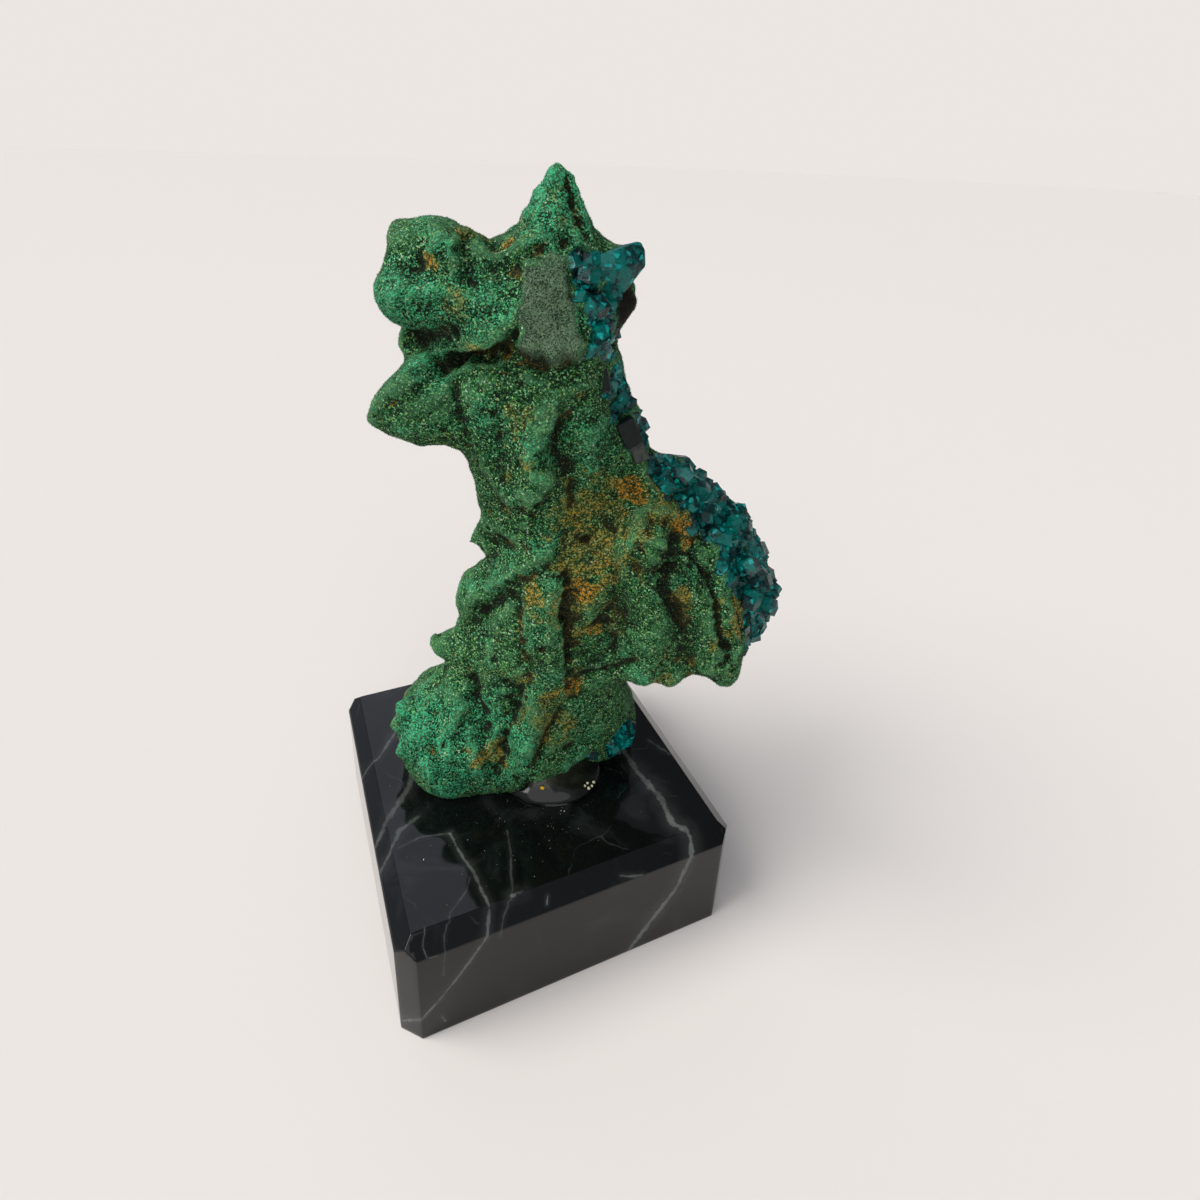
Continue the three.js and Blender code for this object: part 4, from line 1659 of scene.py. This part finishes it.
@dataclass
class AdhesiveBead:
    """The clear bead of set adhesive that holds the foot, with the specks sealed in it."""

    centre: Point = (7.6, -5.0, PLINTH_TOP)
    radii: Point = (12.7, 11.4, 4.6)
    blob: Patch = Patch((5.4, -9.8, PLINTH_TOP), 3.6, 2.2)
    top_colour: Colour = (0.130, 0.134, 0.090)
    clear: Colour = (0.016, 0.017, 0.014)
    # The heights in metres over which the bead turns from its clear colour to its paler top colour.
    haze: tuple[float, float] = (0.0325, 0.0355)
    yellow: tuple[Point, ...] = ((-0.4, -15.7, 33.0),)
    bright: tuple[Point, ...] = (
        (9.6, -18.4, 32.4), (10.5, -17.9, 32.5), (11.5, -18.3, 31.6), (12.3, -17.7, 31.9),
        (10.5, -18.7, 31.6),
    )
    yellow_radius: float = 0.62
    bright_radius: float = 0.42

    def build(self) -> list[Piece]:
        """Make the bead and its specks.

        Returns:
            The bead, the yellow speck and the bright grains.
        """
        form = bmesh.new()
        bmesh.ops.create_uvsphere(form, u_segments=72, v_segments=36, radius=1.0)
        bmesh.ops.scale(form, verts=form.verts, vec=self.radii)
        bmesh.ops.translate(form, verts=form.verts, vec=self.centre)
        whole = [*form.verts, *form.edges, *form.faces]
        low = (0.0, 0.0, PLINTH_TOP - 0.02)
        bmesh.ops.bisect_plane(form, geom=whole, plane_co=low, plane_no=(0.0, 0.0, 1.0), clear_inner=True)
        bmesh.ops.holes_fill(form, edges=[e for e in form.edges if e.is_boundary], sides=0)
        form.transform(Matrix.Scale(MM, 4) @ Matrix.Rotation(SPECIMEN_TURN, 4, "Z"))
        bead = scene_object("clear_adhesive", mesh_from(form, "bead"))
        self._swell(bead.data)
        bead.data.shade_smooth()
        bead.data.materials.append(self._glass())
        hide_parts("adhesive_bead")
        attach(bead, "root")
        speck = scattered_grains("yellow_speck", [(p, self.yellow_radius) for p in self.yellow], 5)
        speck.data.materials.append(plain_stone("yellow_grain", (0.85, 0.50, 0.01), 0.3, 0.4).material)
        sparks = scattered_grains("bright_grains", [(p, self.bright_radius) for p in self.bright], 6)
        sparks.data.materials.append(plain_stone("bright_grain", (0.90, 0.84, 0.58), 0.3, 0.3).material)
        return [bead, speck, sparks]

    def _swell(self, mesh: Mesh) -> None:
        """Make the dome uneven and raise the blob on it.

        Args:
            mesh: The bead's mesh.
        """
        place, facing = Skin.read(mesh)
        free = smoothstep(PLINTH_TOP, PLINTH_TOP + 0.5, place[:, 2])
        swell = 0.3 * Noise.layered(place, 6.0, 81, 2) * free
        away = np.linalg.norm(place[:, :2] - np.array(self.blob.centre[:2]), axis=1) / self.blob.radius
        place[:, 2] += self.blob.amount * np.exp(-(away**4)) * free
        Skin.write(mesh, place + facing * swell[:, None])

    def _glass(self) -> bpy.types.Material:
        """Wire the clear adhesive, paler towards its top.

        Returns:
            The finished material.
        """
        s = Shader("adhesive")
        z = s.add("ShaderNodeSeparateXYZ", {0: s.place}).outputs[2]
        height = s.plus(z, s.times(s.noise(3.0, 3.0, 0.6), 0.0022))
        # Paler towards the top.
        colour = s.blend(s.span(height, *self.haze), self.clear, self.top_colour)
        s.set(Base_Color=colour, Roughness=0.12, IOR=1.38, Transmission_Weight=0.5)
        return s.material


def scattered_grains(name: str, grains: list[tuple[Point, float]], seed: int) -> Piece:
    """Make loose angular grains as one joined piece.

    Args:
        name: The piece's name.
        grains: Each grain's middle and radius in millimetres, in the row frame.
        seed: The random draws' seed.

    Returns:
        The piece, without a material, with each grain's random pick as an attribute.
    """
    rng = np.random.default_rng(seed)
    form = bmesh.new()
    layer = form.verts.layers.float.new("pick")
    for middle, radius in grains:
        made = bmesh.ops.create_icosphere(form, subdivisions=1, radius=radius * MM)["verts"]
        lot = rng.random()
        squash = rng.uniform(0.6, 1.1, 3)
        for v in made:
            v[layer] = lot
            v.co = Vector([c * k for c, k in zip(v.co, squash)]) * rng.uniform(0.75, 1.1)
        bmesh.ops.rotate(form, verts=made, matrix=Matrix.Rotation(rng.uniform(0.0, math.tau), 3, "Z"))
        bmesh.ops.translate(form, verts=made, vec=Vector(middle) * MM)
    piece = scene_object(name, mesh_from(form, name))
    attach(piece, "root")
    return piece


@dataclass
class LooseCrumbs:
    """Malachite crumbs and dust fallen on the plinth's top."""

    count: int = 130
    seed: int = 33
    heap: tuple[float, float] = (-12.0, -22.0)
    spread: tuple[float, float] = (11.0, 7.0)
    heaped: float = 0.7
    half: float = 35.5
    dust: float = 0.06
    growth: float = 0.11
    green: Colour = (0.05, 0.12, 0.07)
    brown: Colour = (0.30, 0.24, 0.10)
    pale: Colour = (0.75, 0.75, 0.65)

    def build(self) -> Piece:
        """Scatter the crumbs.

        Returns:
            The crumbs as one joined piece.
        """
        rng = np.random.default_rng(self.seed)
        grains = []
        while len(grains) < self.count:
            near = rng.random() < self.heaped
            x, y = rng.normal(self.heap, self.spread) if near else rng.uniform(-self.half, self.half, 2)
            if max(abs(x), abs(y)) > self.half + 0.3:
                continue
            radius = self.dust + self.growth * rng.random() ** 3
            grains.append(((x, y, PLINTH_TOP + 0.55 * radius), radius))
        piece = scattered_grains("loose_crumbs", grains, self.seed + 1)
        s = Shader("crumbs")
        pick = s.attribute("pick").outputs["Fac"]
        colour = s.blend(s.span(pick, 0.45, 0.55), self.green, self.brown)
        colour = s.blend(s.span(pick, 0.85, 0.90), colour, self.pale)
        s.set(Base_Color=colour, Roughness=s.span(s.noise(0.1, 1.0, 0.5), 0.3, 0.7, 0.35, 0.7))
        piece.data.materials.append(s.material)
        return piece


# --- The room -----------------------------------------------------------------------------------------


@dataclass(frozen=True)
class Sun:
    """A broad soft light far off.

    It shines from so many degrees to the left of the plinth's front and above the floor, and looks spread
    degrees wide.
    """

    name: str
    left: float
    height: float
    spread: float
    power: float


@dataclass
class Studio:
    """The pale floor, the soft lights and the camera, with places in metres and the lens in millimetres."""

    reach: float = 6.0
    floor: Colour = (0.772, 0.728, 0.685)
    backdrop: Colour = (0.831, 0.791, 0.76)
    air: Colour = (0.36, 0.38, 0.44)
    dusk: Colour = (0.12, 0.124, 0.14)
    turn: tuple[float, float] = (0.08, 0.58)
    suns: tuple[Sun, ...] = (Sun("key", 100.0, 50.0, 40.0, 2.55), Sun("fill", 35.0, 42.0, 60.0, 0.85))
    daylight: Colour = (1.0, 0.985, 0.96)
    softbox: Point = (-0.25, 0.75, 0.85)
    softbox_size: float = 1.0
    softbox_power: float = 2.8
    softbox_colour: Colour = (0.82, 0.88, 1.0)
    camera: Point = (-0.04768, -0.13632, 0.17736)
    camera_turns: tuple[tuple[float, str], ...] = ((-24.0, "Z"), (66.9, "X"), (2.2, "Z"))
    lens: float = 21.8
    sensor: float = 36.0
    shift: tuple[float, float] = (0.0167, -0.125)
    near: float = 0.01

    def build(self) -> None:
        """Set up the room."""
        form = bmesh.new()
        bmesh.ops.create_circle(form, cap_ends=True, segments=96, radius=self.reach)
        ground = scene_object("floor", mesh_from(form, "floor"))
        s = Shader("floor")
        s.set(Base_Color=self.floor, Roughness=0.9, Specular_IOR_Level=0.1)
        ground.data.materials.append(s.material)
        self._sky()
        for sun in self.suns:
            self._hang_sun(sun)
        self._hang_softbox()
        bpy.context.scene.view_settings.view_transform = "Standard"
        self._stand_camera()

    def _sky(self) -> None:
        """Surround the object with soft light, and show the floor's own paleness past its edge."""
        world = bpy.data.worlds.new("studio")
        world.use_nodes = True
        b = Bench(world.node_tree)
        where = b.add("ShaderNodeTexCoord").outputs["Generated"]
        across = b.add("ShaderNodeSeparateXYZ", {0: where}).outputs[0]
        ends = {"Value": across, "From Min": self.turn[0], "From Max": self.turn[1]}
        side = b.add("ShaderNodeMapRange", ends, interpolation_type="SMOOTHSTEP").outputs["Result"]
        fade = b.add("ShaderNodeMix", {"Factor": side, 6: self.air, 7: self.dusk}, data_type="RGBA")
        soft = b.tree.nodes["Background"]
        b.put(soft.inputs["Color"], fade.outputs[2])
        seen = b.add("ShaderNodeBackground", {"Color": self.backdrop}).outputs[0]
        straight = b.add("ShaderNodeLightPath").outputs["Is Camera Ray"]
        pick = b.add("ShaderNodeMixShader", {0: straight, 1: soft.outputs[0], 2: seen}).outputs[0]
        b.put(b.tree.nodes["World Output"].inputs["Surface"], pick)
        bpy.context.scene.world = world

    def _hang_sun(self, sun: Sun) -> None:
        """Hang one of the broad lights.

        Args:
            sun: The light.
        """
        lamp = bpy.data.lights.new(sun.name, "SUN")
        lamp.angle, lamp.energy, lamp.color = math.radians(sun.spread), sun.power, self.daylight
        side, up = math.radians(sun.left), math.radians(sun.height)
        source = Vector((-math.sin(side) * math.cos(up), -math.cos(side) * math.cos(up), math.sin(up)))
        scene_object(sun.name, lamp).rotation_euler = source.to_track_quat("Z", "Y").to_euler()

    def _hang_softbox(self) -> None:
        """Hang a cool softbox behind the specimen, to shine in the polished top."""
        lamp = bpy.data.lights.new("softbox", "AREA")
        lamp.size, lamp.energy, lamp.color = self.softbox_size, self.softbox_power, self.softbox_colour
        holder = scene_object("softbox", lamp)
        holder.visible_diffuse = False
        holder.location = self.softbox
        holder.rotation_euler = Vector(self.softbox).to_track_quat("Z", "Y").to_euler()

    def _stand_camera(self) -> None:
        """Stand the camera at the specimen's front left, looking down at it."""
        lens = bpy.data.cameras.new("camera")
        lens.lens, lens.sensor_width = self.lens, self.sensor
        lens.shift_x, lens.shift_y = self.shift
        lens.clip_start = self.near
        camera = scene_object("camera", lens)
        camera.location = self.camera
        turns = [Matrix.Rotation(math.radians(angle), 4, axis) for angle, axis in self.camera_turns]
        camera.rotation_euler = (turns[0] @ turns[1] @ turns[2]).to_euler()
        bpy.context.scene.camera = camera


def main() -> None:
    """Build every piece and the room."""
    logging.basicConfig(level=logging.INFO, format="%(message)s")
    Studio().build()
    body = MalachiteBody().build()
    pieces = [Plinth().build(), body, *CrystalDown().build(body), DioptaseCrust().build(body)]
    pieces += [CleavedBlocks().build(), *AdhesiveBead().build(), LooseCrumbs().build()]
    for piece in pieces:
        LOG.info("%s: %d faces", piece.name, len(piece.data.polygons))


if __name__ == "__main__":
    main()
